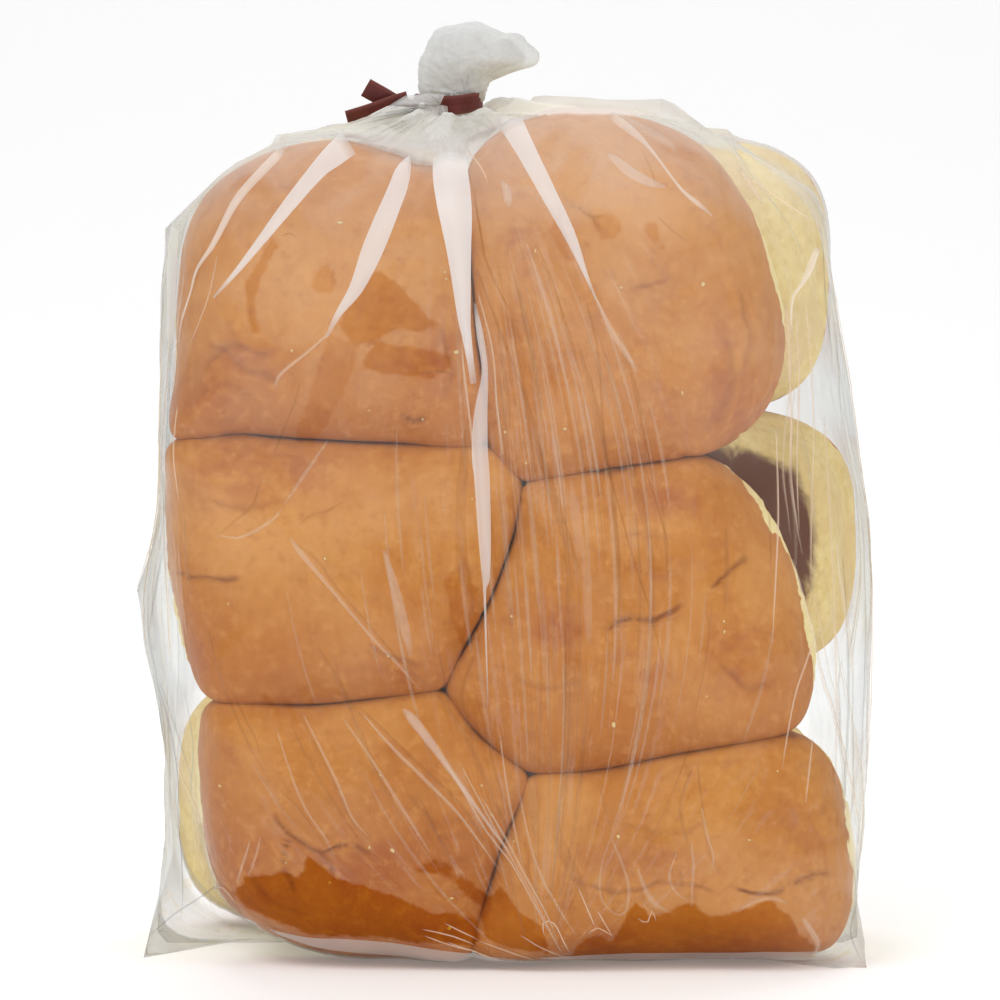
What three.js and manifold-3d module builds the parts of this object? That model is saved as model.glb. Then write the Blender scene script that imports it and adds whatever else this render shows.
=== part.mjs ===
// A clear plastic bag of twelve soft dinner rolls, closed at the neck with a dark red paper twist tie.
// Two slabs of six rolls stand back to back, crowns outwards, and the film is drawn tight over them.
// Units are millimetres, +Z is up and the shown side faces -Y. The origin is the middle of the base.
// The bag is one closed solid out to its film. The twist tie round its neck is a second one.
import * as THREE from "three";
import { ParametricGeometry } from "three/addons/geometries/ParametricGeometry.js";
import { mergeVertices } from "three/addons/utils/BufferGeometryUtils.js";
import Module from "manifold-3d";

const wasm = await Module();
wasm.setup();

// ---- Driving dimensions ----

const CROWN = 50; // from the plane between the two slabs to the top of a roll's crown
const DOME = 3.5; // exponent of a crown's section: 2 is round, more is flatter with steeper sides
const ROLL_BACK = 8; // how far a roll's own form runs on past the plane between the slabs
const CORNER_BLEND = 8; // degrees over which a roll's outline is evened out

// The front rolls were baked touching, so they share seams. Points are [x, z] as seen from the front.
const SEAM = {
  leftTopMiddle: [[-72.5, 115.2], [-58.6, 117], [-44.5, 115.9], [-22.8, 115], [-3.6, 114.6]],
  leftMiddleBottom: [[-63.6, 58.7], [-44.5, 58], [-29.3, 59.4], [-13.4, 61.3]],
  topLeftRight: [[-8.4, 173], [-7.5, 156.6], [-5.6, 134.8], [-3.6, 114.6]],
  middleTopRight: [[-3.6, 114.6], [4, 106.5]],
  rightTopMiddle: [[4, 106.5], [20.8, 109.2], [31.6, 110.7], [42.5, 112]],
  middleLeftRight: [[4, 106.5], [2.3, 95.7], [-3.2, 80.5], [-8.6, 70.7], [-13.4, 61.3]],
  bottomLeftMiddleRight: [[-13.4, 61.3], [-5.3, 51.1], [5.5, 42.8]],
  rightMiddleBottom: [[5.5, 42.8], [20.8, 43.9], [40.3, 47.8], [61, 51.1]],
  bottomLeftRight: [[5.5, 42.8], [2.7, 34.8], [-1, 26.1], [-4.3, 15.2], [-7.5, 3]],
};
const FREE = {
  topLeft: [
    [-71.8, 130], [-72, 146], [-70, 161], [-63.5, 172], [-51, 179.5], [-38, 181.5], [-25, 180], [-14, 176],
  ],
  topRight: [
    [-3, 181], [3.3, 185.6], [14.2, 187.6], [29.4, 186.8], [42.5, 181], [52.3, 168.6], [58.8, 153],
    [61.4, 137], [58.8, 124], [51.2, 115.5],
  ],
  middleLeft: [[-69.5, 67.4], [-72.8, 80.5], [-74.3, 93.5], [-74.3, 106.5]],
  middleRight: [[50.1, 107.6], [55.5, 102.2], [61, 92.4], [64.7, 82.6], [68.2, 69.6], [66.9, 56.5]],
  bottomLeft: [[-22.8, 0.5], [-38, 0.5], [-53, 3], [-63.5, 11], [-67, 24], [-68, 39], [-67.2, 50]],
  bottomRight: [[70.8, 45.7], [76, 32.6], [77.6, 19.5], [76, 7.6], [68.6, 1], [42.5, -1], [18.6, -1]],
};
const back = (seam) => [...seam].reverse();
const FRONT_OUTLINES = [
  [...FREE.topLeft, ...SEAM.topLeftRight, ...back(SEAM.leftTopMiddle)],
  [...FREE.topRight, ...back(SEAM.rightTopMiddle), ...back(SEAM.middleTopRight), ...back(SEAM.topLeftRight)],
  [
    ...SEAM.leftTopMiddle, ...SEAM.middleTopRight, ...SEAM.middleLeftRight,
    ...back(SEAM.leftMiddleBottom), ...FREE.middleLeft,
  ],
  [
    ...SEAM.rightTopMiddle, ...FREE.middleRight, ...back(SEAM.rightMiddleBottom),
    ...back(SEAM.bottomLeftMiddleRight), ...back(SEAM.middleLeftRight),
  ],
  [...SEAM.leftMiddleBottom, ...SEAM.bottomLeftMiddleRight, ...SEAM.bottomLeftRight, ...FREE.bottomLeft],
  [...SEAM.rightMiddleBottom, ...FREE.bottomRight, ...back(SEAM.bottomLeftRight)],
];

// The back rolls are hidden but for their edges, so they are plain rounded forms that fill the bag.
const BACK_SQUARENESS = 3.2;
const BACK_ROLLS = [
  { x: -35, z: 149, halfWidth: 35.5, halfHeight: 31.5 },
  { x: 37, z: 150, halfWidth: 37, halfHeight: 32 },
  { x: -36.5, z: 90, halfWidth: 37.5, halfHeight: 30.5 },
  { x: 40.5, z: 88.5, halfWidth: 40.7, halfHeight: 31.5 },
  { x: -38, z: 30, halfWidth: 37.5, halfHeight: 31.5 },
  { x: 39, z: 29, halfWidth: 40.5, halfHeight: 30.5 },
];

const FILM_DEPTH = 42.8; // the film bridges the creases this far from the middle plane
const FILM_SQUARENESS = 5;
const FILM_TOP = 182;
const SHEATH_DEPTH = 46; // of the slack film that stands out as a soft ridge down both sides
const SHEATH_POINT = 1.7; // exponent: under 2 the sides come to a blunt point
const MERGE = 26; // how crisply the forms meet: more is a sharper crease

// The film's left and right limits by height, from the base to the shoulders.
const LEFT_EDGE = [
  [0, -74], [20, -75.3], [46, -75.6], [66, -79.5], [80, -81], [96, -76], [140, -75.5], [160, -73.5],
  [178, -52],
];
const RIGHT_EDGE = [
  [0, 78], [33, 80], [56, 81], [80, 81.4], [96, 80.6], [122, 77], [153, 72], [165, 66], [178, 46],
];

const NECK = { x: -10.2, z: 188.6, radius: 4.6 };
const TENT_BASE = 185.2; // height of the neck's foot
const TENT_REACH = { side: 38, front: 40 }; // how far the gathered film runs out over the rolls
const PLEATS = 13;
const PLEAT_SHARE = 0.12; // of the radius, in and out

// The loose tuft of film above the tie: its outline seen from the front, round a point in its middle.
const TUFT_MIDDLE = { x: -8.6, z: 198 };
const TUFT_OUTLINE = [
  [-6, 191.8], [-2.4, 194], [2.5, 195.8], [6.9, 197], [8.1, 199.8], [3.2, 204.2], [-3, 205.2],
  [-6.2, 206.8], [-10.5, 206.3], [-15.1, 205.2], [-18.8, 201], [-19.4, 195.6], [-17.4, 192.4], [-12, 191.8],
];
const TUFT_DEPTH = 8.5; // half its thickness from front to back

const EAR_THICK = 4; // the flat film corners at the base, where they leave the body
const EAR_THIN = 1.4; // and at their tips
const TIE_WIDTH = 4.6; // of the paper strip
const TIE_THICK = 0.8;
const TIE_GAP = 0.4; // between the gathered film and the strip round it

// ---- Small helpers ----

const lerp = THREE.MathUtils.lerp;

// The value at t of a list of [t, value] points, joined by smooth steps.
function along(points, t) {
  if (t <= points[0][0]) return points[0][1];
  for (let i = 1; i < points.length; i++) {
    const [t1, v1] = points[i];
    const [t0, v0] = points[i - 1];
    if (t <= t1) return lerp(v0, v1, THREE.MathUtils.smoothstep(t, t0, t1));
  }
  return points[points.length - 1][1];
}

// A closed mesh as a manifold-3d solid, for joining.
function solid(geometry) {
  const bare = geometry.clone();
  bare.deleteAttribute("normal");
  bare.deleteAttribute("uv");
  const merged = mergeVertices(bare, 1e-3);
  return new wasm.Manifold(
    new wasm.Mesh({
      numProp: 3,
      vertProperties: merged.attributes.position.array,
      triVerts: new Uint32Array(merged.index.array),
    }),
  );
}

// A manifold-3d solid back as a geometry.
function geometryOf(made) {
  const mesh = made.getMesh();
  return new THREE.BufferGeometry()
    .setAttribute("position", new THREE.BufferAttribute(mesh.vertProperties, 3))
    .setIndex(new THREE.BufferAttribute(mesh.triVerts, 1));
}

const joined = (...geometries) => geometries.map(solid).reduce((all, next) => all.add(next));

// ---- The rolls ----

// The distance from a middle to a closed outline of [x, z] points, in a direction.
function outlineReach(outline, x, z, angle) {
  const [dx, dz] = [Math.cos(angle), Math.sin(angle)];
  let reach = 0;
  outline.forEach(([x0, z0], i) => {
    const [x1, z1] = outline[(i + 1) % outline.length];
    const [ex, ez] = [x1 - x0, z1 - z0];
    const cross = dx * ez - dz * ex;
    if (Math.abs(cross) < 1e-9) return;
    const t = ((x0 - x) * ez - (z0 - z) * ex) / cross;
    const share = ((x0 - x) * dz - (z0 - z) * dx) / cross;
    if (t > 0 && share >= 0 && share <= 1) reach = Math.max(reach, t);
  });
  return reach;
}

// A roll as its middle and its reach in every direction, one value a degree.
function roll(x, z, reachAt, side) {
  const sharp = Array.from({ length: 360 }, (_, i) => reachAt((i * Math.PI) / 180));
  const reach = sharp.map((_, i) => {
    let sum = 0;
    for (let k = -CORNER_BLEND; k <= CORNER_BLEND; k++) sum += sharp[(i + k + 360) % 360];
    return sum / (2 * CORNER_BLEND + 1);
  });
  return { x, z, reach, side };
}

function frontRoll(outline) {
  const x = outline.reduce((sum, point) => sum + point[0], 0) / outline.length;
  const z = outline.reduce((sum, point) => sum + point[1], 0) / outline.length;
  return roll(x, z, (angle) => outlineReach(outline, x, z, angle), -1);
}

function backRoll({ x, z, halfWidth, halfHeight }) {
  const reachAt = (angle) =>
    (Math.abs(Math.cos(angle) / halfWidth) ** BACK_SQUARENESS
      + Math.abs(Math.sin(angle) / halfHeight) ** BACK_SQUARENESS) ** (-1 / BACK_SQUARENESS);
  return roll(x, z, reachAt, 1);
}

const ROLLS = [...FRONT_OUTLINES.map(frontRoll), ...BACK_ROLLS.map(backRoll)];

// Under 1 inside a roll.
function rollField(point, { x, z, reach, side }) {
  const [dx, dz] = [point.x - x, point.z - z];
  const degrees = (Math.atan2(dz, dx) * 180) / Math.PI + 360;
  const i = Math.floor(degrees);
  const outline = Math.hypot(dx, dz) / lerp(reach[i % 360], reach[(i + 1) % 360], degrees - i);
  const depth = point.y * side;
  const deep = Math.abs(depth) / (depth > 0 ? CROWN : ROLL_BACK);
  return (outline ** DOME + deep ** DOME) ** (1 / DOME);
}

// ---- The packed body: rolls with the film drawn over them ----

// Under 1 inside the film's own rounded box, which spans the creases between the rolls.
function filmField(point, depth, exponent) {
  const left = along(LEFT_EDGE, point.z);
  const right = along(RIGHT_EDGE, point.z);
  const across = Math.abs(point.x - (left + right) / 2) / ((right - left) / 2);
  const deep = Math.abs(point.y) / depth;
  const up = Math.max(0, point.z / FILM_TOP);
  return (across ** exponent + deep ** exponent + up ** (4 * exponent)) ** (1 / exponent);
}

// All the forms melted into one, by a smooth minimum that fills the creases between them a little.
function bodyField(point) {
  const parts = [
    ...ROLLS.map((each) => rollField(point, each)),
    filmField(point, FILM_DEPTH, FILM_SQUARENESS) * 1.02,
    filmField(point, SHEATH_DEPTH, SHEATH_POINT),
  ];
  return parts.reduce((sum, f) => sum + Math.max(f, 0.05) ** -MERGE, 0) ** (-1 / MERGE);
}

// Where the ray from a point inside leaves the body for the last time.
function surfaceAlong(from, direction) {
  const reach = 70;
  const step = 1.5;
  const inside = (t) => bodyField(from.clone().addScaledVector(direction, t)) < 1;
  let far = reach;
  while (far > step && !inside(far - step)) far -= step;
  let near = far - step;
  for (let i = 0; i < 14; i++) {
    const middle = (near + far) / 2;
    if (inside(middle)) near = middle;
    else far = middle;
  }
  return from.clone().addScaledVector(direction, near);
}

// A box whose grid is moved out from an inner core on to the body's surface, and cut flat at the floor.
function packedBody() {
  const size = new THREE.Vector3(168, 104, 196);
  const core = new THREE.Vector3(50, 18, 62);
  const middle = new THREE.Vector3(0, 0, 94);
  const box = new THREE.BoxGeometry(size.x, size.y, size.z, 32, 11, 37);
  const corners = box.attributes.position;
  for (let i = 0; i < corners.count; i++) {
    const corner = new THREE.Vector3().fromBufferAttribute(corners, i);
    const from = corner.clone().clamp(core.clone().negate(), core);
    const direction = corner.clone().sub(from).normalize();
    const point = surfaceAlong(from.add(middle), direction);
    corners.setXYZ(i, point.x, point.y, Math.max(0, point.z));
  }
  return box;
}

// The height of the body's top over a point of the floor plan.
function topOver(x, y) {
  const sky = new THREE.Vector3(x, y, 120);
  return surfaceAlong(sky, new THREE.Vector3(0, 0, 1)).z;
}

// ---- The gathered neck ----

// How far the pleats stand in or out at a turn, from three waves that never repeat evenly.
function pleat(turn, count = PLEATS) {
  const a = turn * 2 * Math.PI;
  const waves = [[0.55, count, 0], [0.3, count - 4, 1.3], [0.15, count + 6, 4.1]];
  return waves.reduce((sum, [share, n, phase]) => sum + share * Math.sin(n * a + phase), 0);
}

// The pleated film that runs down from the neck like a tent and dies into the tops of the rolls. It is a
// surface round the neck's axis, from a pole inside the body up to one inside the tuft.
function tent() {
  const slopeRings = 10;
  const rings = slopeRings + 5;
  const turns = 66;
  const rim = Array.from({ length: turns + 1 }, (_, i) => {
    const a = ((i % turns) / turns) * 2 * Math.PI;
    const r = Math.hypot(TENT_REACH.side * Math.cos(a), TENT_REACH.front * Math.sin(a));
    return { r, z: topOver(NECK.x + r * Math.cos(a), r * Math.sin(a)) - 1.5 };
  });
  const shape = (turn, s, target) => {
    const a = turn * 2 * Math.PI;
    const edge = rim[Math.round(turn * turns)];
    const ring = Math.round(s * rings);
    const fold = pleat(turn);
    const neck = NECK.radius * (1 + PLEAT_SHARE * fold);
    let r = 0;
    let z = edge.z - 22;
    if (ring === 0) z = 140;
    else if (ring === 1) r = edge.r * 0.5;
    else if (ring < rings - 2) {
      const run = (ring - 2) / slopeRings;
      const swell = Math.sin(run * Math.PI) ** 0.8;
      r = lerp(edge.r, neck, run ** 0.85) * (1 + 0.9 * PLEAT_SHARE * fold * swell);
      z = lerp(edge.z, TENT_BASE, run ** 1.25) + 1.1 * fold * swell;
    } else {
      r = ring === rings ? 0 : neck;
      z = [NECK.z + 7, NECK.z + 7, NECK.z - 2][rings - ring];
    }
    target.set(NECK.x + r * Math.cos(a), r * Math.sin(a), z);
  };
  return new ParametricGeometry(shape, turns, rings);
}

// The tuft: its outline swept from the front to the back, with folds that run out from the tie.
function tuft() {
  const corners = TUFT_OUTLINE.map(([x, z]) => new THREE.Vector3(x - TUFT_MIDDLE.x, 0, z - TUFT_MIDDLE.z));
  const outline = new THREE.CatmullRomCurve3(corners, true, "catmullrom", 0.4);
  const shape = (turn, s, target) => {
    const tip = s === 0 || s === 1;
    const a = (s - 0.5) * Math.PI;
    const share = tip ? 0 : Math.cos(a) ** 0.7;
    const fold = 1 + 0.16 * share * pleat(turn, 8);
    target.copy(outline.getPoint(1 - turn)).multiplyScalar(share);
    target.x += TUFT_MIDDLE.x;
    target.z += TUFT_MIDDLE.z;
    target.y = TUFT_DEPTH * fold * Math.sin(a);
  };
  return new ParametricGeometry(shape, 48, 12);
}

// ---- The flat corners of the film at the base ----

// A thin flap of film, from points as seen from the front. It stands at a depth, turned a little about
// its inner edge, and thins out towards its tip.
function ear(points, depth, turn) {
  const outline = new THREE.Shape(points.map(([x, z]) => new THREE.Vector2(x, z)));
  const root = points[0][0];
  const length = Math.max(...points.map(([x]) => Math.abs(x - root)));
  const flap = new THREE.ExtrudeGeometry(outline, { depth: EAR_THICK, bevelEnabled: false })
    .translate(-root, 0, -EAR_THICK / 2)
    .rotateX(Math.PI / 2);
  const corners = flap.attributes.position;
  for (let i = 0; i < corners.count; i++) {
    const thin = lerp(1, EAR_THIN / EAR_THICK, Math.abs(corners.getX(i)) / length);
    corners.setY(i, corners.getY(i) * thin);
  }
  return flap.rotateZ(turn).translate(root, depth, 0);
}

function ears() {
  return [
    ear([[-58, 0], [-58, 26], [-74.5, 28], [-81.5, 1.6], [-80.2, 0]], -22, 0.12),
    ear([[60, 0], [60, 18], [78, 21], [82.2, 1.6], [80.6, 0]], -36, -0.1),
  ];
}

// ---- The twist tie ----

// A paper strip along a route. It stands on edge with its width along "up".
function strip(route, up, width = TIE_WIDTH, thick = TIE_THICK) {
  const curve = new THREE.CatmullRomCurve3(route);
  const steps = 14;
  const shape = (turn, s, target) => {
    const end = s === 0 || s === 1;
    const inner = (s * (steps + 2) - 1) / steps;
    const t = THREE.MathUtils.clamp(inner, 0, 1);
    const tangent = curve.getTangent(t);
    const wide = typeof up === "function" ? up(t) : up.clone();
    wide.addScaledVector(tangent, -wide.dot(tangent)).normalize();
    const side = new THREE.Vector3().crossVectors(tangent, wide);
    const corner = Math.round(turn * 4) % 4;
    const w = end ? 0 : [1, -1, -1, 1][corner] * (width / 2);
    const d = end ? 0 : [1, 1, -1, -1][corner] * (thick / 2);
    target.copy(curve.getPoint(t)).addScaledVector(wide, w).addScaledVector(side, d);
  };
  return new ParametricGeometry(shape, 4, steps + 2);
}

// The closed band round the neck, a little tilted, as a ring of rectangular section.
function band() {
  const inner = NECK.radius * (1 + PLEAT_SHARE) + TIE_GAP;
  const half = TIE_WIDTH / 2;
  const outer = inner + TIE_THICK;
  const section = [[inner, -half], [outer, -half], [outer, half], [inner, half], [inner, -half]];
  return new THREE.LatheGeometry(section.map(([r, z]) => new THREE.Vector2(r, z)), 40)
    .rotateX(Math.PI / 2)
    .rotateY(-0.06)
    .translate(NECK.x, 0, NECK.z);
}

function tie() {
  const left = NECK.x - NECK.radius * (1 + PLEAT_SHARE) - TIE_GAP - TIE_THICK;
  const at = (dx, y, dz) => new THREE.Vector3(left + dx, y, NECK.z + dz);
  const upright = new THREE.Vector3(0, -0.2, 1);
  const turning = (t) => new THREE.Vector3(0, Math.sin(t * 7), Math.cos(t * 7));
  const narrow = TIE_WIDTH * 0.62;
  const twist = strip([at(0.4, 0, 0), at(-2, -1, 0.4), at(-5, -2, 0.9)], turning, narrow, TIE_THICK * 2);
  const tailUp = strip([at(-3.8, -1.6, 0.4), at(-8, -2, 2), at(-15, -2.4, 4.8)], upright);
  const tailDown = strip([at(-3.8, -2.2, 1.4), at(-9.4, -3, 1.2), at(-19.2, -4.2, -1.6)], upright);
  return [band(), twist, tailUp, tailDown];
}

// ---- The model ----

const bag = new THREE.Mesh(
  geometryOf(joined(packedBody(), tent(), tuft(), ...ears())),
  new THREE.MeshStandardMaterial({ color: 0xcf9860, roughness: 0.3, metalness: 0 }),
);
bag.name = "bag_of_rolls";

const twistTie = new THREE.Mesh(
  geometryOf(joined(...tie())),
  new THREE.MeshStandardMaterial({ color: 0x5a1a1c, roughness: 0.55, metalness: 0 }),
);
twistTie.name = "twist_tie";

const group = new THREE.Group();
group.add(bag, twistTie);

// The outlines above were measured from the camera's line, which passes beside the base's middle.
const middle = new THREE.Box3().setFromObject(group).getCenter(new THREE.Vector3());
for (const mesh of group.children) mesh.position.set(-middle.x, -middle.y, 0);

export default group;
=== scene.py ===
import math

import bpy
import numpy as np
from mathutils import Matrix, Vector
from mathutils.bvhtree import BVHTree


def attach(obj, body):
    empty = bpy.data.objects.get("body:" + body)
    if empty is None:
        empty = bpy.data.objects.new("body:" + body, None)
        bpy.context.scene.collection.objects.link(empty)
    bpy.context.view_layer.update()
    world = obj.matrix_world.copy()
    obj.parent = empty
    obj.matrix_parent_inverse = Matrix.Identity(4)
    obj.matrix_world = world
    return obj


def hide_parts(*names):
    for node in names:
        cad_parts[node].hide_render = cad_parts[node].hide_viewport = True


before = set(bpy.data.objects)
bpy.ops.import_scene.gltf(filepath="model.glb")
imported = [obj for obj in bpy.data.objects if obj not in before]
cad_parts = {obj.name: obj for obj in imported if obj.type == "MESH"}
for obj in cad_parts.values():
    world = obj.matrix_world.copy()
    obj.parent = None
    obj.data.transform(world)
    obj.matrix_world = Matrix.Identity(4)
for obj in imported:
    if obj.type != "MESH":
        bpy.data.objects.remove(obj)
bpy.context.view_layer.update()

MM = 0.001
SHIFT_X = -0.73  # the outlines were measured from the camera's line, this far right of the base's middle

# ---------------------------------------------------------------------------------------------
# Driving values
# ---------------------------------------------------------------------------------------------

CROWN = 48.8  # height of a roll from the plane between the two slabs
GAP = 0.8  # between a roll's bottom and that plane

# The front rolls were baked touching, so they share seams.
SEAM = {
    "left_top_middle": [(-72.5, 115.2), (-58.6, 117), (-44.5, 115.9), (-22.8, 115), (-3.6, 114.6)],
    "left_middle_bottom": [(-63.6, 58.7), (-44.5, 58), (-29.3, 59.4), (-13.4, 61.3)],
    "top_left_right": [(-8.4, 173), (-7.5, 156.6), (-5.6, 134.8), (-3.6, 114.6)],
    "middle_top_right": [(-3.6, 114.6), (4, 106.5)],
    "right_top_middle": [(4, 106.5), (20.8, 109.2), (31.6, 110.7), (42.5, 112)],
    "middle_left_right": [(4, 106.5), (2.3, 95.7), (-3.2, 80.5), (-8.6, 70.7), (-13.4, 61.3)],
    "bottom_left_middle_right": [(-13.4, 61.3), (-5.3, 51.1), (5.5, 42.8)],
    "right_middle_bottom": [(5.5, 42.8), (20.8, 43.9), (40.3, 47.8), (61, 51.1)],
    "bottom_left_right": [(5.5, 42.8), (2.7, 34.8), (-1, 26.1), (-4.3, 15.2), (-7.5, 3)],
}
FREE = {
    "top_left": [
        (-71.5, 130), (-71.7, 145.7), (-69.7, 160.5), (-63, 170.7), (-51, 177.9), (-38, 180.3), (-25, 178.8),
        (-15, 174.8),
    ],
    "top_right": [
        (-3.2, 180.5), (3.3, 184.2), (14.2, 186.2), (29.4, 185.3), (42.5, 179.4), (52.3, 167.4),
        (58.8, 152.2), (61.4, 137), (58.8, 124), (51.2, 115.2),
    ],
    "middle_left": [(-69.5, 67.4), (-72.8, 80.5), (-74.3, 93.5), (-74.3, 106.5)],
    "middle_right": [(50.1, 107.6), (55.5, 102.2), (61, 92.4), (64.7, 82.6), (68.2, 69.6), (66.9, 56.5)],
    "bottom_left": [
        (-22.8, 1), (-38, 1.6), (-52.5, 6.5), (-62.5, 14.5), (-65.8, 26.1), (-67.6, 39.1), (-67.1, 50),
    ],
    "bottom_right": [
        (70.8, 45.7), (75.8, 32.6), (77.3, 19.5), (75.1, 7.6), (68.6, 1.7), (42.5, 0.6), (18.6, 0.6),
    ],
}
# Each front roll's outline as pieces of seam and free edge. A minus sign runs a seam backwards.
FRONT = {
    "roll_front_top_left": ["top_left", "top_left_right", "-left_top_middle"],
    "roll_front_top_right": ["top_right", "-right_top_middle", "-middle_top_right", "-top_left_right"],
    "roll_front_middle_left": [
        "left_top_middle", "middle_top_right", "middle_left_right", "-left_middle_bottom", "middle_left",
    ],
    "roll_front_middle_right": [
        "right_top_middle", "middle_right", "-right_middle_bottom", "-bottom_left_middle_right",
        "-middle_left_right",
    ],
    "roll_front_bottom_left": [
        "left_middle_bottom", "bottom_left_middle_right", "bottom_left_right", "bottom_left",
    ],
    "roll_front_bottom_right": ["right_middle_bottom", "bottom_right", "-bottom_left_right"],
}
# The back rolls: middle and half sizes.
BACK = {
    "roll_back_top_left": (-34.5, 148, 34, 30.5),
    "roll_back_top_right": (37, 149, 36.6, 31),
    "roll_back_middle_left": (-36, 89, 36.5, 29),
    "roll_back_middle_right": (40, 88.5, 40, 30.5),
    "roll_back_bottom_left": (-37.5, 30, 36.8, 29.4),
    "roll_back_bottom_right": (38, 26, 34.5, 25.5),
}

# ---------------------------------------------------------------------------------------------
# Small helpers
# ---------------------------------------------------------------------------------------------


def smoothstep(low, high, value):
    t = np.clip((value - low) / (high - low), 0.0, 1.0)
    return t * t * (3.0 - 2.0 * t)


def noise3(points, size, seed=0, octaves=3, gain=0.5):
    """Seeded gradient noise in about -1..1 for an array of points. size is its largest feature."""
    total = np.zeros(len(points))
    weight = 1.0
    norm = 0.0
    for octave in range(octaves):
        p = points / size * 2.0**octave + 17.3 * seed + 5.1 * octave
        cell = np.floor(p).astype(np.int64)
        f = p - cell
        fade = f * f * f * (f * (f * 6 - 15) + 10)
        value = np.zeros(len(points))
        for corner in range(8):
            step = np.array([corner & 1, (corner >> 1) & 1, (corner >> 2) & 1])
            c = cell + step
            h = (c[:, 0] * 73856093) ^ (c[:, 1] * 19349663) ^ (c[:, 2] * 83492791)
            h = h ^ (seed * 2654435 + octave * 97)
            h = (h ^ (h >> 13)) * 1274126177 & 0x7FFFFFFF
            h = h ^ (h >> 16)
            az = (h & 0xFFF) / 4096.0 * 2 * np.pi
            zz = ((h >> 12) & 0xFFF) / 2048.0 - 1.0
            rr = np.sqrt(1 - zz * zz)
            d = f - step
            dot = d[:, 0] * rr * np.cos(az) + d[:, 1] * rr * np.sin(az) + d[:, 2] * zz
            w = np.prod(np.where(step == 1, fade, 1 - fade), axis=1)
            value += w * dot
        total += weight * value * 1.6
        norm += weight
        weight *= gain
    return total / norm


def catmull(points, per, closed):
    """A smooth line through points, with per steps between each two."""
    p = np.asarray(points, float)
    n = len(p)
    if closed:
        ids = [[(i - 1) % n, i, (i + 1) % n, (i + 2) % n] for i in range(n)]
    else:
        ids = [[max(i - 1, 0), i, i + 1, min(i + 2, n - 1)] for i in range(n - 1)]
    t = (np.arange(per) / per)[:, None]
    out = []
    for a, b, c, d in ids:
        out.append(
            0.5 * (2 * p[b] + (p[c] - p[a]) * t + (2 * p[a] - 5 * p[b] + 4 * p[c] - p[d]) * t**2
                   + (3 * p[b] - p[a] - 3 * p[c] + p[d]) * t**3)
        )
    if not closed:
        out.append(p[-1:])
    return np.concatenate(out)


def grid_faces(rows, columns, wrap):
    """Quads of a grid of rows × columns points. wrap joins the last column to the first."""
    i = np.arange(rows - 1)[:, None]
    j = np.arange(columns if wrap else columns - 1)[None, :]
    k = (j + 1) % columns
    this, below = i * columns, (i + 1) * columns
    return np.stack([this + j, this + k, below + k, below + j], axis=-1).reshape(-1, 4)


def grid_normals(grid, wrap):
    """Unit normals of a (rows, columns, 3) grid of points."""
    down = np.gradient(grid, axis=0)
    if wrap:
        across = (np.roll(grid, -1, axis=1) - np.roll(grid, 1, axis=1)) / 2
    else:
        across = np.gradient(grid, axis=1)
    n = np.cross(across, down)
    return n / np.maximum(np.linalg.norm(n, axis=2, keepdims=True), 1e-9)


def make_mesh(name, points_mm, faces, material, marks=None):
    """A piece from points in millimetres. marks maps an attribute's name to one value a point."""
    mesh = bpy.data.meshes.new(name)
    faces = [tuple(int(v) for v in face) for face in faces]
    mesh.from_pydata((np.asarray(points_mm) * MM).tolist(), [], faces)
    mesh.validate()
    for key, values in (marks or {}).items():
        values = np.asarray(values, np.float32)
        layer = mesh.attributes.new(key, "FLOAT", "POINT")
        layer.data.foreach_set("value", values)
    mesh.polygons.foreach_set("use_smooth", [True] * len(mesh.polygons))
    piece = bpy.data.objects.new(name, mesh)
    bpy.context.collection.objects.link(piece)
    mesh.materials.append(material)
    return piece


def line_distance(x, z, line):
    """(distance, share along) from points (x, z) to a polyline."""
    line = np.asarray(line, float)
    best = np.full(x.shape, 1e9)
    share = np.zeros(x.shape)
    lengths = np.hypot(*np.diff(line[:, :2], axis=0).T)
    total = lengths.sum()
    start = 0.0
    for k, length in enumerate(lengths):
        ax, az = line[k, :2]
        bx, bz = line[k + 1, :2]
        ux, uz = (bx - ax) / length, (bz - az) / length
        t = np.clip((x - ax) * ux + (z - az) * uz, 0, length)
        dx, dz = x - ax - t * ux, z - az - t * uz
        d = np.hypot(dx, dz)
        near = d < best
        best = np.where(near, d, best)
        share = np.where(near, (start + t) / total, share)
        start += length
    return best, share


# ---------------------------------------------------------------------------------------------
# Materials
# ---------------------------------------------------------------------------------------------


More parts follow.
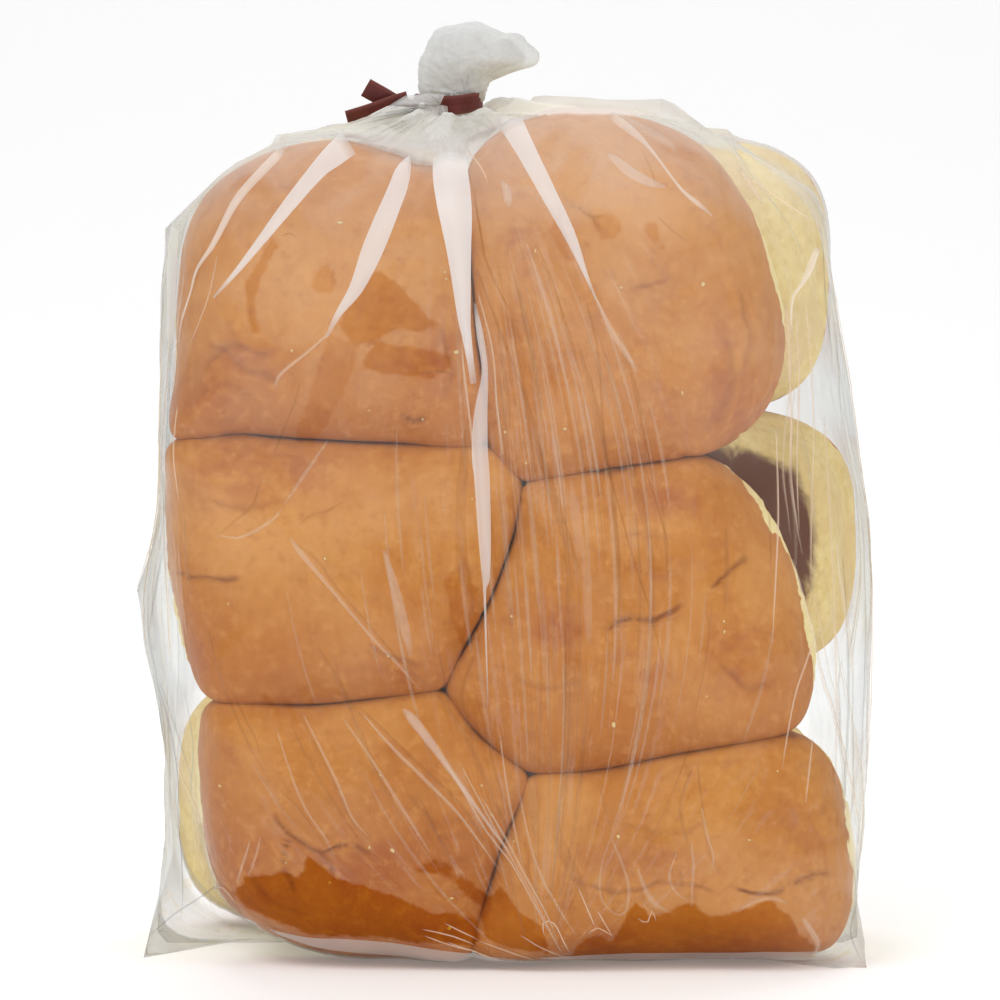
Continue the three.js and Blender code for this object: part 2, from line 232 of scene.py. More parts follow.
class Nodes:
    """Short calls for a material's node tree."""

    def __init__(self, name):
        self.material = bpy.data.materials.new(name)
        self.material.use_nodes = True
        self.tree = self.material.node_tree
        self.tree.nodes.clear()
        self.out = self.tree.nodes.new("ShaderNodeOutputMaterial")

    def add(self, kind, inputs=None, **settings):
        node = self.tree.nodes.new("ShaderNode" + kind)
        for key, value in settings.items():
            setattr(node, key, value)
        self.feed(node, inputs or {})
        return node

    def feed(self, node, inputs):
        for key, value in inputs.items():
            if isinstance(value, bpy.types.NodeSocket):
                self.tree.links.new(value, node.inputs[key])
            else:
                node.inputs[key].default_value = value

    def mark(self, name):
        return self.add("Attribute", attribute_name=name).outputs["Fac"]

    def place(self):
        return self.add("TexCoord").outputs["Object"]

    def noise(self, size_mm, detail=2.0, roughness=0.5, distortion=0.0):
        inputs = {
            "Vector": self.place(),
            "Scale": 1.0 / (size_mm * MM),
            "Detail": detail,
            "Roughness": roughness,
            "Distortion": distortion,
        }
        return self.add("TexNoise", inputs).outputs["Fac"]

    def math(self, operation, a, b=0.0, clamp=False):
        return self.add("Math", {0: a, 1: b}, operation=operation, use_clamp=clamp).outputs[0]

    def times(self, a, b):
        return self.math("MULTIPLY", a, b)

    def steps(self, value, low, high, out_low=0.0, out_high=1.0):
        inputs = {"Value": value, "From Min": low, "From Max": high, "To Min": out_low, "To Max": out_high}
        return self.add("MapRange", inputs, interpolation_type="SMOOTHSTEP").outputs["Result"]

    def mix(self, share, a, b):
        return self.add("Mix", {0: share, 6: a, 7: b}, data_type="RGBA", blend_type="MIX").outputs[2]

    def bump(self, height, strength, distance_mm, normal=None):
        inputs = {"Height": height, "Strength": strength, "Distance": distance_mm * MM}
        if normal is not None:
            inputs["Normal"] = normal
        return self.add("Bump", inputs).outputs["Normal"]

    def finish(self, shader):
        self.tree.links.new(shader, self.out.inputs["Surface"])
        return self.material


def rgb(red, green, blue):
    return (red, green, blue, 1.0)


def crust_material():
    """Baked crust, browner where "brown" says so and lighter where "tan" does. "low" paints shade on the
    lower part of each roll, "crack" paints shade in the grooves and "seam" paints shade in the seams
    between rolls.

    It goes over to torn crumb where "pale" is 1, lighter crumb where "torn" is 1, and to the dark sole
    where "under" is 1: brown bottom crust, drawn darker as painted shade.
    """
    n = Nodes("roll_crust")
    broad = n.noise(26, 3, 0.55, 0.4)
    patch = n.noise(9, 3, 0.6, 0.8)
    mottle = n.noise(2.6, 3, 0.65)
    fine = n.noise(0.9, 3, 0.65)
    tan = rgb(0.59, 0.245, 0.050)
    golden = rgb(0.51, 0.180, 0.022)
    brown = rgb(0.33, 0.080, 0.012)
    base = n.mix(n.steps(broad, 0.35, 0.65), golden, tan)
    tints = [
        (n.steps(patch, 0.54, 0.78, 0, 0.4), brown),
        (n.times(n.mark("tan"), 0.55), rgb(0.68, 0.31, 0.09)),
        # Painted shade: "low" darkens the lower part of each roll, as if lit from above.
        (n.times(n.mark("low"), 0.5), rgb(0.40, 0.105, 0.010)),
        (n.times(n.mark("brown"), n.steps(patch, 0.35, 0.62, 0.1, 0.6)), rgb(0.36, 0.082, 0.022)),
        (n.steps(mottle, 0.50, 0.70, 0, 0.30), rgb(0.72, 0.34, 0.095)),
        (n.steps(mottle, 0.46, 0.28, 0, 0.28), brown),
        (n.steps(fine, 0.60, 0.72, 0, 0.32), rgb(0.74, 0.38, 0.12)),
        (n.steps(fine, 0.40, 0.28, 0, 0.28), brown),
        # Painted shade in the grooves of cracks and wrinkles.
        (n.times(n.mark("crack_shade"), 0.42), rgb(0.25, 0.06, 0.014)),
        # Painted shade in the seams between rolls.
        (n.times(n.mark("seam"), 0.2), rgb(0.20, 0.07, 0.05)),
    ]
    for share, tint in tints:
        base = n.mix(share, base, tint)
    crumb_noise = n.noise(2.6, 3, 0.7)
    crumb = n.mix(n.steps(crumb_noise, 0.3, 0.7), rgb(0.70, 0.49, 0.17), rgb(0.82, 0.65, 0.30))
    ragged = n.math("ADD", n.mark("pale"), n.steps(n.noise(3.2, 3, 0.6), 0.3, 0.7, -0.35, 0.35))
    crumb = n.mix(n.steps(broad, 0.42, 0.62, 0, 0.6), crumb, rgb(0.66, 0.44, 0.20))
    crumb = n.mix(n.times(n.mark("torn"), 0.6), crumb, rgb(0.97, 0.82, 0.40))
    share = n.steps(ragged, 0.42, 0.6)
    color = n.mix(share, base, crumb)
    # The sole: brown bottom crust, drawn darker as painted shade where the slabs face each other.
    dark_sole_and_shade = n.math("ADD", n.mark("under"), n.steps(patch, 0.3, 0.7, -0.22, 0.22))
    color = n.mix(n.steps(dark_sole_and_shade, 0.2, 0.85), color, rgb(0.13, 0.042, 0.018))
    skin = n.bump(mottle, 0.4, 0.3)
    pores = n.bump(fine, 0.25, 0.12, skin)
    look = {"Base Color": color, "Roughness": 0.6, "Specular IOR Level": 0.22, "Normal": pores}
    return n.finish(n.add("BsdfPrincipled", look).outputs[0])


def film_material():
    """Clear film: straight through, with a mirror sheen that grows towards grazing.

    "haze" is how white a fold or gather looks: milky crumpled film in the neck's gather and tuft, and on
    the folds mostly a painted reflection of the lights. "gather" says how grey and "warm" how warm its
    white is, warm as painted glints on the narrow folds. "veil" is a painted reflection, the thin white
    cast of the room on film that stands off the crust. The film shows the crust darker where "wet" says
    so, and where "cling", a distance, is below 0, as strongly as "hold" says. "smoke" greys what lies
    behind. Fine lines run along "sweep" where "busy" is above 0; the light ones are painted reflection.
    """
    n = Nodes("clear_film")
    facing = n.add("LayerWeight", {"Blend": 0.5}).outputs["Facing"]
    sheen = n.math("ADD", n.times(n.math("POWER", facing, 5.0), 0.6), 0.022)
    place = n.add("SeparateXYZ", {0: n.place()}).outputs
    lines = n.add(
        "CombineXYZ",
        {0: n.times(n.mark("sweep"), MM), 1: place[1], 2: n.times(place[2], 0.06)},
    ).outputs[0]
    strand = {"Vector": lines, "Scale": 1 / (1.9 * MM), "Detail": 2.0, "Roughness": 0.6}
    strand = n.add("TexNoise", strand).outputs["Fac"]
    # Light fine lines are painted reflection; dark ones show the crust darker, as where the film clings.
    light = n.times(n.steps(strand, 0.57, 0.66), n.times(n.mark("busy"), 0.10))
    dark = n.times(n.steps(strand, 0.42, 0.34), n.times(n.mark("busy"), 0.22))
    ragged = n.times(n.math("SUBTRACT", n.noise(4, 3, 0.65), 0.5), 3.0)
    stuck = n.times(n.steps(n.math("ADD", n.mark("cling"), ragged), 0.5, -0.5), n.mark("hold"))
    wet = n.math("MAXIMUM", n.math("MAXIMUM", n.mark("wet"), stuck), dark, True)
    dry = n.math("SUBTRACT", 1.0, wet)
    # Painted reflection: a patchy white cast of the room on film that stands off the crust.
    patchy_reflection = n.steps(n.noise(16, 2, 0.6, 0.6), 0.3, 0.6, 0.6, 1.1)
    veil = n.times(n.times(n.mark("veil"), REFLECTION_VEIL), patchy_reflection)
    milk_and_reflection = n.math("ADD", n.mark("milk_and_reflection"), n.times(n.math("ADD", veil, light), dry), True)
    clear = n.mix(n.math("POWER", facing, 2.5), rgb(0.945, 0.95, 0.945), rgb(0.66, 0.67, 0.655))
    clear = n.mix(n.mark("smoke"), clear, rgb(0.30, 0.30, 0.29))
    clear = n.mix(wet, clear, rgb(0.72, 0.48, 0.05))
    through = n.add("BsdfTransparent", {"Color": clear}).outputs[0]
    crinkle = n.bump(n.noise(3.5, 2, 0.55), 0.16, 0.3)
    mirror = n.add("BsdfGlossy", {"Color": rgb(1, 1, 1), "Roughness": 0.07, "Normal": crinkle}).outputs[0]
    sheen = n.times(sheen, n.steps(wet, 0, 1, 1.0, 0.4))
    glossy = n.add("MixShader", {0: sheen, 1: through, 2: mirror}).outputs[0]
    # The white of milky crumpled film, and of the painted reflections on the folds.
    white = n.mix(n.mark("gather"), rgb(0.92, 0.925, 0.93), rgb(0.85, 0.85, 0.84))
    # Warm white on the narrow folds: painted glints.
    white = n.mix(n.mark("glint_tint"), white, rgb(1.0, 0.78, 0.58))
    milk = n.add("BsdfDiffuse", {"Color": white}).outputs[0]
    glow = n.add("BsdfTranslucent", {"Color": white}).outputs[0]
    milky = n.add("MixShader", {0: 0.35, 1: milk, 2: glow}).outputs[0]
    return n.finish(n.add("MixShader", {0: milk_and_reflection, 1: glossy, 2: milky}).outputs[0])


def tie_material():
    """Dark red paper with a faint grain along the strip."""
    n = Nodes("tie_paper")
    fibre = n.noise(0.5, 3, 0.6)
    broad = n.noise(4, 2, 0.5)
    color = n.mix(n.steps(broad, 0.3, 0.7), rgb(0.085, 0.011, 0.010), rgb(0.125, 0.018, 0.015))
    color = n.mix(n.steps(fibre, 0.55, 0.75, 0, 0.5), color, rgb(0.17, 0.04, 0.03))
    color = n.mix(n.mark("edge"), color, rgb(0.22, 0.07, 0.055))
    bump = n.bump(fibre, 0.3, 0.06)
    look = {"Base Color": color, "Roughness": 0.48, "Specular IOR Level": 0.45, "Normal": bump}
    return n.finish(n.add("BsdfPrincipled", look).outputs[0])


REFLECTION_VEIL = 0.11  # how much painted reflection, a white cast, the film lays over the crust where "veil" is 1

CRUST = crust_material()
FILM = film_material()
PAPER = tie_material()

# ---------------------------------------------------------------------------------------------
# Rolls
# ---------------------------------------------------------------------------------------------


def polar_outline(points, free, turns):
    """(centre x, centre z, reach, how free) in equal directions from an outline's middle."""
    line = catmull(points, 12, True)
    loose = np.interp(np.arange(len(line)) / 12, np.arange(len(free) + 1), list(free) + [free[0]])
    x, z = line[:, 0], line[:, 1]
    cross = x * np.roll(z, -1) - np.roll(x, -1) * z
    area = cross.sum() / 2
    cx = ((x + np.roll(x, -1)) * cross).sum() / (6 * area)
    cz = ((z + np.roll(z, -1)) * cross).sum() / (6 * area)
    angle = np.arctan2(z - cz, x - cx) % (2 * np.pi)
    order = np.argsort(angle)
    at = np.arange(turns) / turns * 2 * np.pi
    reach = np.interp(at, angle[order], np.hypot(x - cx, z - cz)[order], period=2 * np.pi)
    how_free = np.interp(at, angle[order], loose[order], period=2 * np.pi)
    return cx, cz, soften(reach, turns * 3.0 / 360), soften(how_free, turns * 5.0 / 360)


def soften(values, sigma):
    """Values round a circle, blurred by sigma steps."""
    n = len(values)
    k = np.arange(n)
    k = np.minimum(k, n - k)
    kernel = np.exp(-0.5 * (k / max(sigma, 1e-6)) ** 2)
    kernel /= kernel.sum()
    return np.real(np.fft.ifft(np.fft.fft(values) * np.fft.fft(kernel)))


def roll_profile(reach, loose, crown, dome, edge, drop, foot, widest, rows):
    """One direction's section from the crown's top to the bottom's middle: (distance, height) rows."""
    phi = np.linspace(0, np.pi / 2, 30)
    top_r = np.linspace(0, reach - edge, 40, endpoint=False)
    edge_r = reach - edge + edge * np.sin(phi) ** (2 / 2.25)
    edge_y = drop * (1 - np.cos(phi) ** (2 / 2.25))
    upper_r = np.concatenate([top_r, edge_r])
    upper_y = crown - dome * (upper_r / reach) ** 2 - np.concatenate([np.zeros(40), edge_y])
    wall = np.linspace(0, 1, 12)[1:]
    wall_y = upper_y[-1] + (foot + GAP - upper_y[-1]) * wall
    wall_r = reach - (1.2 + 2.0 * loose) * wall**2
    psi = np.linspace(0, np.pi / 2, 14)[1:]
    foot_r = wall_r[-1] - widest * (1 - np.cos(psi))
    foot_y = GAP + foot * (1 - np.sin(psi))
    under_r = np.linspace(foot_r[-1], 0, 14)[1:]
    r = np.concatenate([upper_r, wall_r, foot_r, under_r])
    y = np.concatenate([upper_y, wall_y, foot_y, np.full(13, GAP)])
    along = np.concatenate([[0], np.cumsum(np.hypot(np.diff(r), np.diff(y)))])
    top_end = along[69 + 11]
    at = np.concatenate([
        np.linspace(0, top_end, int(rows * 0.82)),
        np.linspace(top_end, along[-1], rows - int(rows * 0.82) + 1)[1:],
    ])
    return np.interp(at, along, r), np.interp(at, along, y)


# Cracks in the front crusts: a line of (x, z), how wide and how deep.
CRACKS = {
    "roll_front_top_left": [
        ([(-22.5, 121.5), (-19.5, 119.8), (-17, 121)], 0.9, 0.9),
        ([(-66, 131), (-58, 136.5), (-50, 133)], 1.2, 0.5),
        ([(-64, 138), (-55, 131), (-47, 128)], 1.0, 0.5),
        ([(-69, 126), (-60, 127.5), (-53, 125)], 1.1, 0.4),
        ([(-14, 141), (-11, 132), (-13, 125)], 0.9, 0.5),
    ],
    "roll_front_top_right": [
        ([(46, 140), (49, 132), (47, 122), (41, 117)], 1.6, 0.5),
        ([(50, 150), (53, 139), (51, 128)], 1.2, 0.5),
        ([(10, 170), (17, 165), (22, 160)], 0.7, 0.4),
        ([(20, 153), (29, 149), (36, 151)], 0.7, 0.35),
    ],
    "roll_front_middle_left": [
        ([(-73, 86.5), (-65, 85.6), (-56, 86.2)], 0.8, 0.8),
        ([(-66, 104), (-57, 101.5), (-49, 103)], 0.8, 0.4),
        ([(-30, 72), (-24, 68.5), (-17, 67)], 0.8, 0.5),
    ],
    "roll_front_middle_right": [
        ([(21, 75), (27, 77.5), (33, 78), (39, 81)], 0.8, 0.8),
        ([(44, 84), (49, 88), (54, 91)], 0.9, 0.8),
        ([(20, 93), (28, 96), (37, 94)], 0.9, 0.4),
        ([(46, 68), (52, 62), (58, 64)], 1.1, 0.5),
        ([(0, 66), (8, 62), (17, 64)], 0.8, 0.35),
    ],
    "roll_front_bottom_left": [
        ([(-50, 36), (-46, 30), (-40, 27), (-37, 21)], 0.8, 0.7),
        ([(-46, 30), (-48, 24), (-45, 18)], 0.7, 0.6),
        ([(-40, 27), (-34, 28.5), (-29, 26)], 0.7, 0.6),
        ([(-56, 22), (-50, 15), (-42, 12)], 0.9, 0.45),
        ([(-22, 40), (-16, 34), (-13, 26)], 0.8, 0.4),
    ],
    "roll_front_bottom_right": [
        ([(50, 19.5), (55, 17.5), (61, 18.6)], 0.8, 0.8),
        ([(62, 19), (66, 21.5), (72, 20.5)], 0.8, 0.8),
        ([(12, 22), (24, 18), (36, 20), (47, 17)], 0.9, 0.45),
        ([(24, 33), (36, 31), (44, 33)], 0.8, 0.35),
        ([(58, 36), (63, 30), (66, 25)], 0.9, 0.35),
    ],
}
# Browner places on the front crusts: x, z, and how far they reach sideways and up.
BROWN_PATCHES = [
    (-56, 132, 11, 5), (-62, 126, 8, 4), (-14, 134, 4, 9), (47, 129, 4, 13), (50, 121, 8, 5),
    (3, 158, 4, 8), (30, 66, 5, 6), (50, 68, 8, 7), (35, 103, 8, 4), (12, 76, 7, 5), (-20, 66, 9, 4),
    (-55, 16, 9, 5), (-40, 8, 16, 4), (-18, 10, 7, 5), (22, 6, 14, 5), (52, 5, 16, 4), (30, 24, 14, 5),
    (-66, 70, 3, 6), (62, 30, 7, 8), (-38, 24, 24, 9), (-52, 108, 20, 6),
]
# How far out from its middle a back roll's dark underside goes, as a share of its outline: brown bottom
# crust, drawn darker as painted shade.
UNDER_REACH = {"roll_back_middle_right": 0.80, "roll_back_top_right": 0.22}
# Where a front roll's pale torn side shows past its crust: x, z, how far round, and up to what height.
PALE_EDGES = [
    (-71, 76, 14, 31), (-68.5, 36, 18, 32), (61, 150, 15, 32), (58, 99, 12, 34), (66.5, 74, 15, 35),
    (76, 27, 15, 34), (-73, 135, 14, 27),
]
TORN_HEIGHT = 20.5  # the crust comes down the sides to this height above the plane between the slabs


def front_roll(name, turns=248, rows=104):
    points = []
    free = []
    for part in FRONT[name]:
        key = part.lstrip("-")
        line = SEAM.get(key) or FREE[key]
        line = line[::-1] if part.startswith("-") else line
        for point in line:
            if not points or point != points[-1]:
                points.append(point)
                free.append(1.0 if key in FREE else 0.0)
    if points[0] == points[-1]:
        points.pop()
        free.pop()
    cx, cz, reach, loose = polar_outline(points, free, turns)
    seed = list(FRONT).index(name) + 1
    reach = reach - 0.04 * (1 - loose)
    rings = [
        roll_profile(reach[i], free, CROWN, 3.6, 12 + 8 * free, 5.5 + 16.5 * free, 6, 6, rows)
        for i, free in enumerate(loose)
    ]
    r, y = np.array(rings).transpose(1, 2, 0)
    at = np.arange(turns) / turns * 2 * np.pi
    grid = np.stack([cx + SHIFT_X + r * np.cos(at), -y, cz + r * np.sin(at)], axis=-1)
    return shape_roll(name, grid, r / reach, loose, y, seed, True)


def back_roll(name, turns=150, rows=66):
    x, z, half_width, half_height = BACK[name]
    seed = list(BACK).index(name) + 11
    at = np.arange(turns) / turns * 2 * np.pi
    reach = (np.abs(np.cos(at) / half_width) ** 3.3 + np.abs(np.sin(at) / half_height) ** 3.3) ** (-1 / 3.3)
    outer = np.sign(x) * np.cos(at)
    loose = smoothstep(0.2, 0.7, outer)
    if "top" in name:
        loose = np.maximum(loose, smoothstep(0.3, 0.8, np.sin(at)))
    rings = []
    for i, free in enumerate(loose):
        foot, widest = 7 + 11 * free, 6 + 12 * free
        rings.append(
            roll_profile(reach[i], free, CROWN, 4, 12 + 9 * free, 11 + 9 * free, foot, widest, rows)
        )
    r, y = np.array(rings).transpose(1, 2, 0)
    grid = np.stack([x + SHIFT_X + r * np.cos(at), y, z + r * np.sin(at)], axis=-1)
    return shape_roll(name, grid, r / reach, loose, y, seed, False)


def shape_roll(name, grid, ring_share, loose, height, seed, front):
    """Lumps, wrinkles, cracks and torn sides on a smooth roll, and the marks that its crust reads."""
    rows, turns = grid.shape[:2]
    normals = grid_normals(grid, True)
    centre = grid.reshape(-1, 3).mean(axis=0)
    out = grid - centre
    if (normals * out).sum(axis=2).mean() < 0:
        normals = -normals
    flat = grid.reshape(-1, 3)
    high = height.reshape(-1)
    share = ring_share.reshape(-1)
    loose_at = np.tile(loose, rows)
    crown_part = smoothstep(14, 30, high)
    lumps = 1.1 * noise3(flat, 34, seed, 2) + 0.42 * noise3(flat, 11, seed + 40, 3)
    stretched = flat * np.array([1.0, 1.0, 2.2])
    wrinkles = np.abs(noise3(stretched, 13, seed + 60, 2))
    wrinkle_here = smoothstep(0.05, 0.5, noise3(flat, 28, seed + 80, 1)) * smoothstep(0.35, 0.75, share)
    move = lumps * crown_part * smoothstep(1.0, 0.75, share * 0.999)
    move += 0.9 * lumps * (1 - smoothstep(1.0, 0.75, share)) * 0.45
    move -= 0.55 * np.exp(-((wrinkles / 0.07) ** 2)) * wrinkle_here * crown_part
    # Painted shade in the grooves of wrinkles and cracks, as deep as they are.
    crack_shade = 0.22 * np.exp(-((wrinkles / 0.05) ** 2)) * wrinkle_here * crown_part
    wobble_x = flat[:, 0] - SHIFT_X + 1.1 * noise3(flat, 5.5, seed + 90, 2, 0.5)
    wobble_z = flat[:, 2] + 1.1 * noise3(flat, 5.5, seed + 91, 2, 0.5)
    for line, width, depth in CRACKS.get(name, []):
        d, along = line_distance(wobble_x, wobble_z, catmull(line, 5, False))
        ends = smoothstep(0.0, 0.15, along) * smoothstep(1.0, 0.85, along)
        width = width * (0.42 + 0.22 * along) * (1 + 0.4 * noise3(flat, 5, seed + 92, 2))
        groove = np.exp(-((d / width) ** 2)) * ends * crown_part
        lip = np.exp(-(((d - 1.9 * width) / width) ** 2)) * ends * crown_part
        move += depth * (0.45 * lip - 1.25 * groove)
        crack_shade = np.maximum(crack_shade, groove * depth)
    if front:
        torn_level = np.full(len(flat), TORN_HEIGHT)
        for px, pz, reach, top in PALE_EDGES:
            near = np.exp(-(((wobble_x - px) ** 2 + (wobble_z - pz) ** 2) / reach**2))
            torn_level = np.maximum(torn_level, TORN_HEIGHT + (top - TORN_HEIGHT) * near)
    else:
        torn_level = np.full(len(flat), 25.0)
    torn_line = torn_level + 2.2 * noise3(flat, 9, seed + 20, 2)
    reach_out = UNDER_REACH.get(name, 0.62) + 0.12 * noise3(flat, 16, seed + 33, 2)
    above_sole = smoothstep(2.2, 5.5, high)
    if not front:
        above_sole = np.maximum(above_sole, smoothstep(-0.35, -0.2, share - reach_out))
    pale = smoothstep(2.2, -2.2, high - torn_line) * above_sole
    crumbly = 0.9 * noise3(flat, 4.5, seed + 30, 3) + 0.35 * noise3(flat, 1.7, seed + 31, 2)
    move += pale * (1.0 if front else 0.35) * crumbly * smoothstep(1.5, 5, high)
    # The sole's mark, for brown bottom crust drawn darker as painted shade.
    under = smoothstep(0.20, -0.20, share - reach_out) * smoothstep(7.0, 2.0, high)
    grid = grid + (normals.reshape(-1, 3) * move[:, None]).reshape(grid.shape)
    limit = GAP * 0.6
    if front:
        grid[..., 1] = np.minimum(grid[..., 1], -limit)
    else:
        grid[..., 1] = np.maximum(grid[..., 1], limit)
    grid[..., 2] = np.maximum(grid[..., 2], 0.35)
    # Painted shade in the seams between rolls, near the crown.
    seam = (1 - loose_at) * smoothstep(0.982, 1.0, share) * smoothstep(20, 30, high)
    brown = np.zeros(len(flat))
    if front:
        for px, pz, wx, wz in BROWN_PATCHES:
            spot = ((wobble_x - px) / wx) ** 2 + ((wobble_z - pz) / wz) ** 2
            brown = np.maximum(brown, np.exp(-spot) * crown_part)
    tan = smoothstep(-0.1, 0.5, noise3(flat, 30, seed + 50, 1)) * smoothstep(0.95, 0.6, share)
    # Painted shade: the lower part of each roll darker, as if lit from above, reaching higher on the bottom
    # left roll.
    up_share = (flat[:, 2] - centre[2]) / np.ptp(flat[:, 2]) + 0.08 * noise3(flat, 18, seed + 51, 2)
    lift = 0.42 if name == "roll_front_bottom_left" else 0.0
    low = smoothstep(0.1 + lift, -0.5 + lift, up_share)
    # One point for each pole, so the crown and the bottom close cleanly.
    top = grid[0].mean(axis=0)
    bottom = grid[-1].mean(axis=0)
    body = grid[1:-1].reshape(-1, 3)
    points = np.concatenate([body, [top, bottom]])
    faces = grid_faces(rows - 2, turns, True).tolist()
    top_id, bottom_id = len(body), len(body) + 1
    last = (rows - 3) * turns
    for j in range(turns):
        k = (j + 1) % turns
        faces += [[top_id, k, j], [bottom_id, last + j, last + k]]
    if front:
        faces = [face[::-1] for face in faces]

    def per_point(values):
        """The grid's values as the mesh has its points: the rows between, then the two poles."""
        values = values.reshape(rows, turns)
        return np.concatenate([values[1:-1].reshape(-1), [values[0].mean(), values[-1].mean()]])

    torn = np.full(len(flat), 1.0 if front else 0.25)
    marks = {"pale": pale, "crack_shade": crack_shade, "seam": seam, "brown": brown, "tan": tan, "under": under}
    marks |= {"torn": torn, "low": low}
    marks = {key: per_point(values) for key, values in marks.items()}
    return make_mesh(name, points, faces, CRUST, marks)


rolls = [front_roll(name) for name in FRONT] + [back_roll(name) for name in BACK]

# ---------------------------------------------------------------------------------------------
# Film
# ---------------------------------------------------------------------------------------------

# Places read off the photo are in its pixels, where the front of the rolls is 0.2175 mm to a pixel.
PIXEL = 0.2175
MIDDLE_PX = 500
MIDDLE_MM = (-1.0, 102.2)


def from_photo(points):
    """Photo places (x, y) or (x, y, half width) in pixels, as millimetres on the front of the rolls."""
    out = []
    for x, y, *half in points:
        right = MIDDLE_MM[0] + (x - MIDDLE_PX) * PIXEL
        up = MIDDLE_MM[1] + (MIDDLE_PX - y) * PIXEL
        out.append((right, up, *(max(h * PIXEL, 0.1) for h in half)))
    return out
